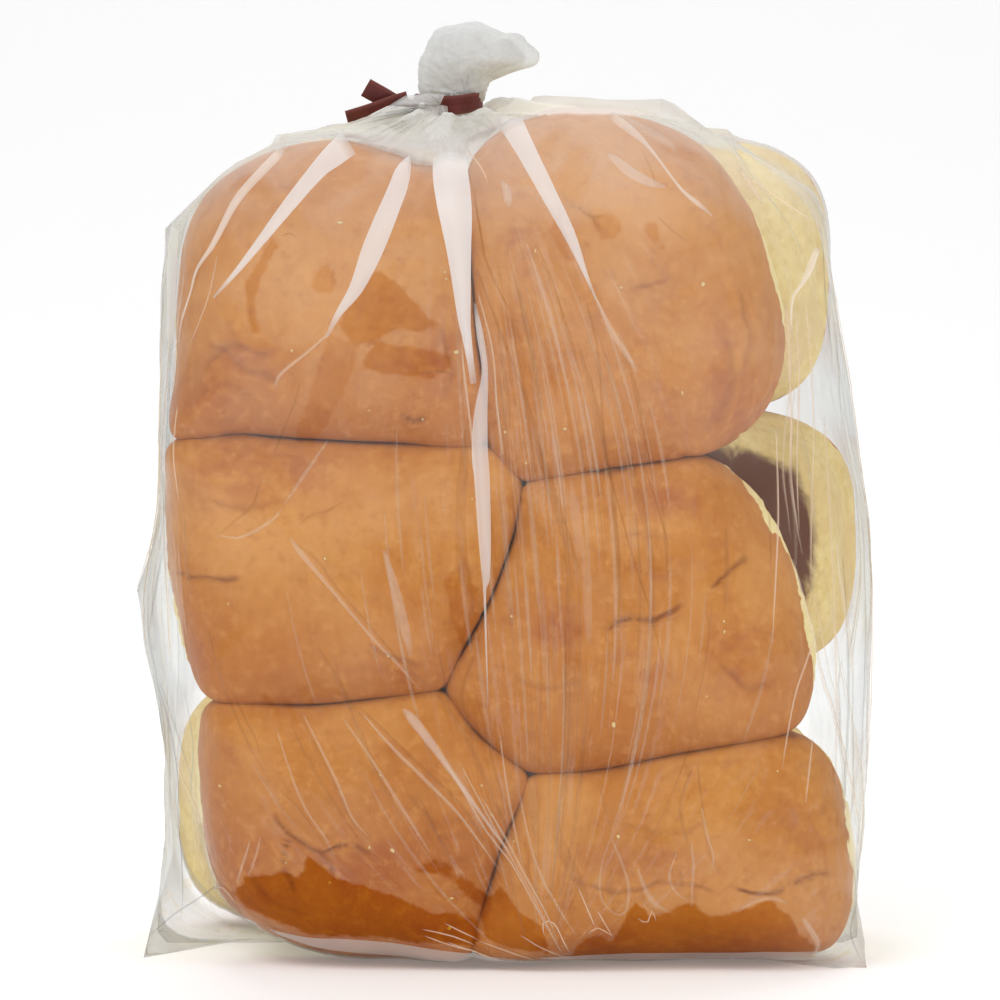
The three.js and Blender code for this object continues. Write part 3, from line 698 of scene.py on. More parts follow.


# Folds that show white, partly milky film and mostly a painted reflection of the lights, the narrow ones
# painted glints: how white, how high in mm, and a line of (x, y, half width) in photo pixels.
FOLDS = [
    (0.68, 0.7, [
        (284, 150, 3), (277, 158, 4.5), (262, 174, 4.5), (239, 201, 4), (217, 243, 2.6), (200, 268, 1.3),
        (192, 294, 0.9), (183, 321, 0.9), (180, 343, 0.6),
    ]),
    (0.78, 0.9, [
        (348, 145, 13), (333, 158, 11), (319.5, 171, 8.5), (290.5, 206, 6.5), (261.5, 243, 4.2),
        (240, 270, 2.6), (217, 296, 1),
    ]),
    (0.4, 0.4, [(221, 254, 0.7), (212, 294, 0.9), (200, 325, 0.8), (192, 344, 0.6)]),
    (0.78, 0.9, [
        (410, 157, 1), (404, 171, 7.5), (397, 193, 9.5), (375.5, 245, 10.5), (358.5, 285, 7),
        (340, 312, 3.2), (329, 334, 1.8),
    ]),
    (0.42, 0.5, [(331, 330, 1.6), (311, 348, 1.8), (284, 370, 2.2), (278, 383, 1.4)]),
    (0.92, 1.6, [
        (450, 158, 17), (452, 180, 18), (455, 207, 17), (460, 256, 11.5), (464.5, 314, 6.5), (469, 345, 4),
        (474, 380, 3),
    ]),
    (0.6, 0.9, [
        (475, 300, 1), (480, 330, 3.4), (485, 368, 3.2), (481, 410, 6.5), (480, 448, 8), (482.5, 478, 7.5),
        (485, 533, 6), (486.5, 573, 3.5), (485, 592, 1.2), (488, 700, 0.7),
    ]),
    (0.5, 0.6, [(462, 345, 1), (467, 390, 1.6), (474, 450, 1.5), (478, 520, 1), (485, 600, 0.7)]),
    (0.45, 0.6, [(478, 290, 0.8), (492, 345, 1.3), (497, 400, 1.2), (503, 450, 0.8)]),
    (0.78, 0.9, [
        (511, 124, 12), (528, 155, 9.5), (549, 195, 7.8), (569.5, 235, 5.6), (583.7, 270, 2.4),
        (595, 297, 0.9),
    ]),
    (0.36, 0.5, [(593, 292, 0.9), (604, 315, 2.2), (613, 333, 3.4), (625, 351, 3.2), (636, 369, 1)]),
    (0.55, 0.6, [
        (611, 117, 4.5), (628, 130, 4.2), (641, 141, 2.6), (654, 156, 1.4), (668, 175, 1.2),
        (680, 190, 1.6), (695, 203, 2.4), (710, 215, 0.9),
    ]),
    (0.3, 0.4, [(606, 154, 1), (614, 160, 4), (630, 173, 5), (648, 182, 4), (664, 187, 1)]),
    (0.24, 0.4, [(618, 118, 3), (645, 132, 4), (668, 145, 3.5), (677, 156, 1)]),
    (0.55, 0.4, [(468, 151, 1), (481, 167, 1.2), (488, 182, 0.8)]),
    (0.3, 0.4, [(502, 180, 1.5), (507, 190, 4.5), (508, 200, 4), (509, 207, 1.2)]),
    (0.75, 0.6, [(749, 180, 1.6), (770, 193, 1.1), (792, 208, 0.9), (815, 223, 0.9)]),
    (0.8, 0.6, [(820, 251, 3.2), (812, 270, 4), (803, 285, 2.6), (792, 301, 1.6), (791, 335, 1)]),
    (0.6, 0.4, [(739, 170, 2.4), (752, 190, 3), (762, 204, 1.2)]),
    (0.6, 0.5, [(785, 308, 1.6), (787, 330, 1.9), (790, 400, 1.2), (791, 470, 1)]),
    (0.5, 0.5, [(796, 315, 0.9), (799, 380, 1.3), (797, 460, 1), (799, 530, 0.8)]),
    (0.45, 0.5, [(806, 300, 1), (812, 360, 1.3), (815, 440, 1.2), (812, 520, 1.4), (811, 595, 0.8)]),
    (0.6, 0.5, [(775, 428, 0.8), (777, 500, 1.2), (776, 545, 1.2), (772, 610, 0.9), (770, 640, 0.6)]),
    (0.55, 0.5, [(815, 639, 1), (806, 660, 1.4), (794.5, 690, 1.2), (786, 730, 1), (780.6, 763, 0.7)]),
    (0.5, 0.5, [(812, 738, 0.8), (808, 768, 1.2), (803.6, 800, 0.7)]),
    (0.4, 0.6, [(826, 420, 0.9), (831, 500, 1.6), (836, 600, 1.6), (838, 700, 1.2), (836, 790, 1)]),
    (0.5, 0.8, [(170, 227, 5), (170, 260, 6), (170, 320, 5), (169, 352, 2)]),
    (0.6, 0.4, [(180, 405, 0.8), (176, 450, 1), (181, 500, 0.7)]),
    (0.4, 0.4, [(186, 275, 0.7), (178, 330, 0.9), (173, 400, 0.8)]),
    (0.3, 0.4, [
        (292, 532, 1), (303, 548, 3.2), (330, 580, 2.2), (370, 628, 1.6), (400, 660, 1.4), (420, 683, 0.7),
    ]),
    (0.26, 0.4, [(221, 531, 0.7), (240, 533, 1.6), (262, 524, 2.4), (278, 512, 2.2), (284, 503, 0.8)]),
    (0.22, 0.4, [(330, 436, 1), (312, 462, 2.4), (300, 480, 2.2), (286, 500, 1)]),
    (0.2, 0.4, [(385, 545, 1.5), (395, 580, 4.5), (405, 620, 5), (412, 650, 2)]),
    (0.42, 0.5, [
        (404, 702, 1), (412, 712, 4.5), (430, 735, 4.2), (456, 772, 2.6), (489, 819, 1.6), (512, 850, 1),
    ]),
    (0.36, 0.5, [(362, 706, 0.9), (392, 740, 2), (426, 774, 2.6), (462, 812, 1.8), (500, 866, 1)]),
    (0.3, 0.4, [(305, 708, 0.8), (322, 742, 1.4), (338, 775, 1.8), (354, 812, 1.4), (372, 832, 0.7)]),
    (0.25, 0.4, [(278, 722, 0.8), (290, 760, 1.2), (306, 800, 1.4), (326, 830, 1.3), (336, 850, 0.8)]),
    (0.3, 0.4, [(344, 712, 0.8), (372, 752, 1.6), (402, 800, 2.2), (430, 846, 1.4)]),
    (0.3, 0.5, [(252, 835, 0.8), (246, 855, 1.8), (238, 880, 1.2)]),
    (0.28, 0.5, [(262, 832, 0.8), (258, 850, 1.6), (250, 872, 1)]),
    (0.4, 0.6, [
        (443, 752, 0.8), (464, 786, 1.4), (485, 823, 1.6), (510, 856, 1.4), (535, 900, 1.2), (560, 945, 1),
    ]),
    (0.36, 0.6, [(460, 757, 0.8), (486, 806, 1.4), (507, 845, 1.4), (535, 895, 1.2), (562, 950, 0.8)]),
    (0.4, 0.6, [(482, 792, 0.8), (502, 826, 1.6), (524, 868, 1.8), (548, 912, 1.2), (557, 938, 0.8)]),
    (0.36, 0.5, [(500, 730, 0.8), (506, 776, 1.3), (514, 820, 1.4), (522, 858, 1)]),
    (0.32, 0.5, [(520, 790, 0.8), (528, 830, 1.4), (540, 868, 1.6), (560, 905, 1.4), (576, 930, 0.8)]),
    (0.24, 0.5, [
        (610, 830, 0.8), (621, 856, 1.6), (628, 881, 2), (624, 906, 1.4), (612, 906, 0.9), (600, 889, 1.2),
        (601, 858, 1), (609, 834, 0.7),
    ]),
    (0.26, 0.5, [(637, 862, 1), (645, 884, 3), (655, 898, 3), (668, 905, 1)]),
    (0.24, 0.5, [(675, 846, 1), (668, 870, 1.8), (675, 886, 1.5), (686, 893, 1)]),
    (0.24, 0.5, [(690, 834, 0.8), (692, 858, 1.8), (691, 880, 1.5), (690, 900, 0.8)]),
    (0.24, 0.5, [(700, 800, 0.8), (706, 830, 1.8), (712, 850, 1.2), (708, 870, 0.8)]),
    (0.8, 0.5, [(577, 880, 0.5), (587, 903, 0.8), (594, 920, 0.5)]),
    (0.8, 0.5, [(596, 903, 0.5), (604, 917, 0.7), (612, 931, 0.5)]),
    (0.8, 0.5, [(587, 928, 0.5), (598, 922, 0.7), (613, 932, 0.5)]),
    (0.8, 0.5, [(637, 912, 0.5), (646, 917, 0.7), (651, 904, 0.6), (655, 915, 0.5)]),
    (0.75, 0.5, [(544, 930, 0.5), (543, 917, 0.8), (554, 918, 0.8), (564, 938, 0.8), (570, 950, 0.5)]),
    (0.8, 0.4, [(423, 924, 0.4), (440, 928, 0.8), (458, 934, 0.9), (475, 943, 0.4)]),
    (0.8, 0.4, [(445, 918, 0.4), (462, 928, 0.8), (478, 937, 0.4)]),
    (0.7, 0.4, [(425, 931, 0.4), (450, 941, 0.9), (470, 948, 1), (492, 956, 0.5)]),
    (0.7, 0.4, [(448, 938, 0.4), (475, 950, 0.9), (505, 960, 0.5)]),
    (0.6, 0.4, [(480, 938, 0.5), (510, 948, 1), (540, 960, 0.6)]),
    (0.55, 0.4, [(520, 930, 0.5), (545, 945, 0.9), (575, 960, 0.6)]),
    (0.3, 0.5, [(800, 912, 0.8), (808, 924, 3.4), (817, 940, 3.2), (812, 955, 1)]),
    (0.28, 0.4, [(737, 905, 0.8), (752, 896, 2.2), (770, 892, 2.4), (786, 898, 1)]),
    (0.55, 0.4, [(172, 772, 0.5), (180, 790, 1), (190, 808, 0.8), (197, 822, 0.4)]),
    (0.5, 0.4, [(212, 897, 0.5), (222, 889, 1.2), (236, 905, 0.6)]),
    (0.45, 0.3, [
        (268, 930, 1), (284, 936, 3), (310, 942, 5.5), (345, 945, 8), (390, 949, 8.5), (440, 954, 7),
        (480, 958, 5), (520, 960, 3),
    ]),
    (0.4, 0.3, [
        (540, 956, 1.5), (600, 958, 3.5), (640, 958, 5), (690, 958, 4.5), (740, 957, 5), (790, 955, 5.5),
        (825, 951, 3.5), (842, 945, 1.5),
    ]),
]
# Thin lines where the film clings and shows the crust darker: how dark, and a line in photo pixels.
WET_LINES = [
    (0.9, [(476, 202, 0.8), (481, 230, 1.6), (486, 259, 1.8), (500, 290, 1.4), (514, 317, 0.8)]),
    (0.8, [
        (478, 269, 0.8), (496, 318, 1.6), (514, 365, 2), (529, 406, 2.6), (540, 450, 3.2), (549, 490, 2),
    ]),
    (0.9, [(583, 294, 0.8), (592, 325, 1.4), (598, 361, 1.6), (603, 437, 1.6), (612, 490, 1.2)]),
    (0.9, [(618, 340, 1), (624, 355, 2.4), (634, 386, 2.8), (642, 430, 2), (653, 484, 1.4)]),
    (0.7, [(304, 377, 0.8), (296, 402, 1.3), (282, 436, 1.6), (276, 452, 0.8)]),
    (0.55, [(531, 425, 1.5), (541, 455, 4.2), (552, 490, 5), (565, 530, 4.5), (580, 574, 2)]),
    (0.85, [
        (600.6, 428, 1.2), (606, 459, 1.8), (620, 511, 1.3), (634, 561, 1.1), (650, 611, 1),
        (667, 686, 0.8),
    ]),
    (0.6, [(622, 440, 1.5), (629, 460, 4), (637, 490, 5), (645, 520, 4), (651, 552, 1.5)]),
    (0.8, [(637, 445, 0.8), (655, 500, 1.4), (668, 545, 0.8)]),
    (0.55, [
        (474, 395, 1), (467, 430, 3), (463, 470, 4.5), (461, 520, 5), (463, 560, 6), (470, 590, 4),
        (472, 612, 1),
    ]),
    (0.75, [
        (487, 465, 0.8), (492, 520, 1.2), (490, 575, 1), (478, 640, 1.4), (462, 690, 2.2), (475, 735, 1),
    ]),
    (0.6, [
        (292, 535, 0.8), (318, 555, 2.2), (340, 585, 1.4), (372, 622, 1.6), (400, 655, 1.8),
        (430, 682, 1.2),
    ]),
    (0.6, [(222, 530, 0.8), (240, 515, 2), (256, 500, 2), (262, 480, 1)]),
    (0.55, [(301, 520, 0.8), (312, 512, 2.2), (330, 506, 1.6), (344, 498, 0.8)]),
    (0.55, [(318, 640, 0.8), (338, 672, 2.6), (352, 700, 3.4), (366, 712, 1.6)]),
    (0.5, [(236, 690, 0.8), (246, 712, 1.4), (258, 735, 1), (262, 752, 0.6)]),
    (0.6, [(362, 702, 0.8), (392, 732, 2.2), (426, 765, 2.4), (464, 803, 1.8), (502, 868, 1.2)]),
    (0.5, [(300, 705, 0.8), (318, 742, 1.6), (342, 790, 2), (352, 814, 1.6), (368, 834, 1)]),
    (0.6, [(282, 785, 0.8), (298, 800, 1.6), (322, 832, 1.4), (336, 852, 0.8)]),
    (0.6, [(438, 690, 2), (460, 720, 3), (480, 760, 3), (497, 800, 2), (520, 850, 1.6), (545, 905, 1.2)]),
    (0.7, [(476, 690, 0.8), (488, 735, 1.2), (498, 775, 1.6), (512, 815, 1.2)]),
    (0.55, [(693, 757, 0.8), (682, 785, 2), (679, 805, 2.4), (684, 830, 2), (690, 850, 1)]),
    (0.6, [(696, 757, 0.8), (700, 795, 2), (706, 840, 2.6), (716, 868, 1.4)]),
    (0.5, [(598, 776, 0.8), (604, 800, 2), (610, 822, 1.2)]),
    (0.5, [(560, 790, 1), (556, 820, 4), (565, 850, 6), (580, 880, 5), (590, 905, 2)]),
    (0.55, [(613, 861, 1), (609, 878, 4), (610, 893, 2.6)]),
    (0.6, [(640, 890, 1), (650, 902, 2.4), (662, 908, 1.2)]),
    (0.55, [(680, 862, 0.8), (680, 876, 2.2), (684, 886, 1.2)]),
    (0.8, [(283, 235, 0.5), (292, 232, 1.1), (300, 236, 0.5)]),
    (0.6, [(455, 372, 0.5), (440, 368, 1.2), (420, 371, 0.6)]),
    (0.7, [(484, 330, 0.7), (494, 380, 1.4), (502, 430, 1.4), (508, 470, 0.8)]),
    (0.55, [(533, 240, 0.6), (545, 262, 1.4), (556, 292, 1.2), (566, 330, 0.7)]),
    (0.5, [(468, 170, 0.6), (474, 190, 1.4), (478, 215, 1), (482, 240, 0.6)]),
    (0.45, [(640, 150, 0.6), (650, 172, 1.4), (655, 190, 0.8)]),
    (0.5, [(655, 215, 0.6), (668, 228, 1.6), (684, 240, 1)]),
    (0.5, [(575, 205, 0.6), (590, 216, 2), (604, 214, 1)]),
    (0.7, [(205, 250, 0.4), (200, 275, 0.9), (192, 300, 0.5)]),
]
# Grey fold lines in the slack film at both sides: how grey, and a line in photo pixels.
FIN_LINES = [
    (0.5, [
        (152, 692, 0.5), (166, 740, 0.8), (174, 790, 0.6), (173, 830, 0.5), (178, 900, 0.6),
        (176, 930, 0.4),
    ]),
    (0.4, [(154, 690, 0.4), (172, 735, 0.7), (190, 786, 0.5)]),
    (0.35, [(139, 953, 0.5), (150, 908, 1.4), (166, 868, 1.1), (180, 850, 0.5)]),
    (0.3, [(144, 948, 0.4), (170, 925, 1), (200, 905, 1.1), (222, 884, 0.6)]),
    (0.28, [(185, 700, 0.4), (192, 750, 0.6), (187, 800, 0.4)]),
    (0.35, [(144, 640, 0.4), (150, 600, 1), (163, 545, 0.8)]),
    (0.25, [(160, 470, 0.6), (163, 500, 1.4), (158, 540, 0.8)]),
    (0.3, [(170, 236, 0.5), (169, 300, 0.8), (168, 420, 0.7), (165, 480, 0.4)]),
    (0.3, [(869, 520, 0.5), (872, 600, 0.8), (870, 700, 0.8), (866, 800, 0.5)]),
    (0.25, [(846, 560, 0.5), (851, 640, 1.4), (852, 720, 1.6), (846, 800, 0.8)]),
    (0.3, [(852, 860, 0.5), (860, 900, 0.9), (850, 930, 0.9), (862, 962, 0.4)]),
    (0.25, [(826, 230, 0.5), (829, 300, 1), (836, 360, 0.8)]),
]
# Larger patches where the film clings: how strongly, and an outline in photo pixels.
WET_PATCHES = [
    (0.45, [(275, 238), (284, 240), (262, 280), (256, 300), (262, 328), (256, 329), (249, 300), (250, 278)]),
    (0.5, [
        (340, 323), (352, 300), (367, 276), (384, 269), (400, 283), (411, 294), (440, 323), (420, 330),
        (396, 326), (372, 340), (352, 338),
    ]),
    (0.5, [
        (362, 352), (380, 340), (420, 345), (452, 352), (455, 362), (430, 375), (392, 372), (366, 366),
    ]),
    (0.35, [(318, 268), (330, 262), (342, 274), (334, 292), (322, 290), (312, 284)]),
    (0.3, [(330, 330), (362, 345), (352, 372), (330, 420), (316, 440), (300, 440), (298, 430), (318, 372)]),
    (0.5, [(446, 575), (466, 552), (478, 590), (476, 612), (462, 642), (452, 612)]),
    (0.9, [(414, 865), (436, 850), (460, 868), (491, 895), (530, 927), (512, 922), (483, 905), (445, 869)]),
    (1, [
        (233, 893), (244, 874), (288, 867), (299, 873), (310, 850), (338, 871), (404, 893), (426, 904),
        (486, 918), (475, 943), (431, 940), (310, 932), (272, 919), (236, 902),
    ]),
    (0.9, [
        (571, 958), (582, 935), (596, 930), (610, 936), (621, 922), (634, 895), (648, 911), (665, 906),
        (693, 895), (709, 911), (737, 906), (770, 892), (790, 911), (801, 936), (820, 942), (812, 958),
        (693, 960), (610, 960),
    ]),
    (0.85, [(480, 900), (500, 880), (520, 905), (545, 925), (548, 950), (510, 945), (480, 930)]),
    (0.3, [(500, 300), (520, 330), (536, 380), (540, 420), (528, 440), (514, 400), (504, 350)]),
    (0.3, [(590, 215), (606, 210), (622, 220), (618, 236), (600, 238)]),
    (0.35, [(560, 205), (566, 240), (574, 262), (556, 250), (548, 228)]),
    (0.35, [(640, 215), (654, 222), (660, 246), (648, 240)]),
]

NECK_X, NECK_Z, NECK_RADIUS = -10.2 + SHIFT_X, 188.6, 4.5
NECK_LOW, NECK_TOP = 185.9, 190.3  # the film's gathered neck goes up through the tie between these
FAN_X, FAN_Z = 7.0 + SHIFT_X, 2.0  # where the film's folds gather at the bottom
# The film's outline from the front, from the floor up to the neck.
LEFT_EDGE = [
    (-78, 0), (-77.5, 9), (-76.3, 19.3), (-75.9, 46.2), (-80.3, 66.3), (-82.1, 79.7), (-76.3, 95.3),
    (-76.3, 144.5), (-75.2, 160.1), (-64.7, 170.2), (-52.4, 178), (-39, 182.9), (-26.7, 183.6),
    (-16.6, 185.6), (-10, 185.9),
]
RIGHT_EDGE = [
    (79.3, 0), (79, 10.4), (80.8, 32.8), (81.7, 55.1), (82.1, 77.5), (81.2, 95.3), (77.2, 122.2),
    (72.3, 153.4), (71.2, 162.4), (68.7, 168), (59.3, 173.6), (47.1, 180.3), (35.9, 188.3), (9.1, 188.2),
    (-1, 186.3), (-10, 185.9),
]
EAR_TIPS = [(-79.6, -25.0, 0.4), (78.9, -40.0, 0.4)]  # the bottom seal's corners, lying on the floor
EAR_REACH = 17.0

# The film is drawn by rays out of a rounded core inside the rolls.
CORE_X, CORE_Y, CORE_LOW, CORE_HIGH = 50.0, 14.0, 26.0, 152.0
COLUMNS = [200, 80, 16, 56, 88, 56, 16, 80]  # front, then sides and corners round to the front again
ROWS = {"floor": 9, "foot": 18, "wall": 80, "shoulder": 30, "roof": 24}
CLEARANCE = 0.4  # film to crust
NECK_ROWS = 6
RIGHT_COLUMN = sum(COLUMNS[:2]) + 8
LEFT_COLUMN = sum(COLUMNS[:6]) + 8


def film_rays():
    """(origins, directions) of the film's rows × columns."""
    quarter = math.pi / 2
    corners = [
        (-1, -1, -1), (1, -1, -1), (1, -1, 0), (1, 1, 0), (1, 1, 1), (-1, 1, 1), (-1, 1, 2), (-1, -1, 2),
        (-1, -1, 3),
    ]
    x, y, angle = [], [], []
    for start, end, count in zip(corners, corners[1:], COLUMNS):
        t = np.arange(count) / count
        x.append(CORE_X * (start[0] + (end[0] - start[0]) * t))
        y.append(CORE_Y * (start[1] + (end[1] - start[1]) * t))
        angle.append(quarter * (start[2] + (end[2] - start[2]) * t))
    x, y, angle = np.concatenate(x), np.concatenate(y), np.concatenate(angle)
    ring = np.arctan2(1.3 * (y + 34 * np.sin(angle)), x + 30 * np.cos(angle) - NECK_X)
    neck_x = NECK_X - SHIFT_X + NECK_RADIUS * np.cos(ring)
    neck_y = NECK_RADIUS * np.sin(ring)
    rows = [(s, 0.0, CORE_LOW, -quarter) for s in np.linspace(0.06, 1, ROWS["floor"], False)]
    rows += [(1.0, 0.0, CORE_LOW, e) for e in np.linspace(-quarter, 0, ROWS["foot"], False)]
    rows += [(1.0, 0.0, z, 0.0) for z in np.linspace(CORE_LOW, CORE_HIGH, ROWS["wall"], False)]
    rows += [(1.0, 0.0, CORE_HIGH, e) for e in np.linspace(0, quarter, ROWS["shoulder"], False)]
    rows += [(1.0, s, CORE_HIGH, quarter) for s in np.linspace(0, 1, ROWS["roof"])]
    origins, directions = [], []
    for core, neck, z, lift in rows:
        neck = neck**0.85
        ox = (1 - neck) * x * core + neck * neck_x
        oy = (1 - neck) * y * core + neck * neck_y
        origins.append(np.stack([ox + SHIFT_X, oy, np.full(len(x), z)], axis=-1))
        flat, up = math.cos(lift), np.full(len(x), math.sin(lift))
        directions.append(np.stack([flat * np.cos(angle), flat * np.sin(angle), up], axis=-1))
    return np.array(origins), np.array(directions)


def solid_tree(pieces):
    """A search tree over the pieces' faces, in millimetres."""
    points, faces = [], []
    for piece in pieces:
        mesh = piece.data
        co = np.empty(len(mesh.vertices) * 3, np.float32)
        mesh.vertices.foreach_get("co", co)
        first = len(points)
        points += (co.reshape(-1, 3) / MM).tolist()
        faces += [tuple(first + v for v in face.vertices) for face in mesh.polygons]
    return BVHTree.FromPolygons(points, faces)


def roll_reach(tree, origins, directions, far=150.0):
    """How far out the rolls come along each ray, or 0 where it meets none."""
    reach = np.zeros(origins.shape[:2])
    starts = (origins + far * directions).tolist()
    inward = (-directions).tolist()
    for i, (row, ways) in enumerate(zip(starts, inward)):
        for j, (start, way) in enumerate(zip(row, ways)):
            distance = tree.ray_cast(Vector(start), Vector(way), far)[3]
            if distance is not None:
                reach[i, j] = far - distance
    return reach


def edge_reach(origins, directions, edge):
    """Distance along rays in the plane y = 0 to the outline."""
    edge = np.asarray(edge, float) + np.array([SHIFT_X, 0])
    out = np.full(len(origins), 60.0)
    for k, (q, d) in enumerate(zip(origins, directions)):
        for a, b in zip(edge, edge[1:]):
            ex, ez = b - a
            cross = d[0] * ez - d[2] * ex
            if abs(cross) < 1e-9:
                continue
            wx, wz = a[0] - q[0], a[1] - q[2]
            t = (wx * ez - wz * ex) / cross
            share = (wx * d[2] - wz * d[0]) / cross
            if t > 5 and -1e-6 <= share <= 1 + 1e-6:
                out[k] = min(out[k], t)
    return out


def relax(lowest, highest, origins, directions, start, fixed, hoop, rounds):
    """Pulls the film tight over the rolls, as a skin that can't go below lowest or past highest."""
    t = start.copy()
    for _ in range(rounds):
        p = origins + t[..., None] * directions
        around = (np.roll(p, 1, axis=1) + np.roll(p, -1, axis=1)) / 2
        along = (np.concatenate([p[:1], p[:-1]]) + np.concatenate([p[1:], p[-1:]])) / 2
        pull = hoop[..., None] * around + (1 - hoop[..., None]) * along
        wanted = ((pull - origins) * directions).sum(axis=2)
        wanted = np.minimum(np.maximum(wanted, lowest), highest)
        t = np.where(fixed, start, wanted)
    return t


def film_surface(tree):
    """The draped film's grid, and how far it stands off the rolls."""
    origins, directions = film_rays()
    lowest = roll_reach(tree, origins, directions) + CLEARANCE
    rows, columns = lowest.shape
    down = np.minimum(directions[..., 2], -1e-6)
    highest = np.where(directions[..., 2] < -1e-3, (origins[..., 2] - 0.12) / -down, 1e3)
    lowest = np.minimum(lowest, highest)
    start = np.minimum(np.maximum(lowest, 30), highest)
    fixed = np.zeros(lowest.shape, bool)
    for column, edge in ((RIGHT_COLUMN, RIGHT_EDGE), (LEFT_COLUMN, LEFT_EDGE)):
        ridge = (slice(ROWS["floor"], None), column)
        t = edge_reach(origins[ridge], directions[ridge], edge)
        start[ridge] = np.minimum(np.maximum(t, lowest[ridge]), highest[ridge])
        fixed[ridge] = True
    start[-1] = NECK_LOW - CORE_HIGH
    start[0] = highest[0]
    fixed[-1] = fixed[0] = True
    roof = np.arange(rows) - (rows - ROWS["roof"])
    hoop = 0.62 - 0.52 * smoothstep(-14, 6, roof.astype(float))
    hoop = np.repeat(hoop[:, None], columns, axis=1)
    coarse = (slice(None, None, 2), slice(None, None, 4))
    small = relax(
        lowest[coarse], highest[coarse], origins[coarse], directions[coarse], start[coarse], fixed[coarse],
        hoop[coarse], 420,
    )
    wide = np.concatenate([small, small[:, :1]], axis=1)
    at = np.arange(columns) / 4
    wide = np.array([np.interp(at, np.arange(wide.shape[1]), row) for row in wide])
    at = np.arange(rows) / 2
    full = np.array([np.interp(at, np.arange(len(wide)), column) for column in wide.T]).T
    start = np.where(fixed, start, np.minimum(np.maximum(full, lowest), highest))
    t = relax(lowest, highest, origins, directions, start, fixed, hoop, 40)
    return origins + t[..., None] * directions, t - lowest


def sweep(x, z):
    """Which fold line from the neck to the bottom's gather a point is on, in millimetres at half height."""
    high = np.arctan2(x - NECK_X, NECK_Z + 4 - z)
    low = np.arctan2(x - FAN_X, z - FAN_Z + 4)
    return (high + low) * 46.0


def outline_distance(x, z, shape):
    """Signed distance to a closed outline, below 0 inside it."""
    loop = np.asarray(list(shape) + [shape[0]], float)
    distance = line_distance(x, z, loop)[0]
    inside = np.zeros(x.shape, bool)
    for (ax, az), (bx, bz) in zip(loop, loop[1:]):
        if az == bz:
            continue
        crosses = (az > z) != (bz > z)
        inside ^= crosses & (x < ax + (z - az) * (bx - ax) / (bz - az))
    return np.where(inside, -distance, distance)


def neck_rings(last):
    """Rings of film that go up through the tie from the film's last ring."""
    angle = np.arctan2(last[:, 1], last[:, 0] - NECK_X)
    gathered = 0.25 * np.cos(23 * angle) + 0.15 * np.cos(37 * angle + 1)
    rings = []
    for share in np.linspace(0, 1, NECK_ROWS + 1)[1:]:
        radius = NECK_RADIUS - 0.25 + 0.5 * share + gathered
        level = np.full(len(last), NECK_LOW + (NECK_TOP - NECK_LOW) * share)
        rings.append(np.stack([NECK_X + radius * np.cos(angle), radius * np.sin(angle), level], axis=-1))
    return rings


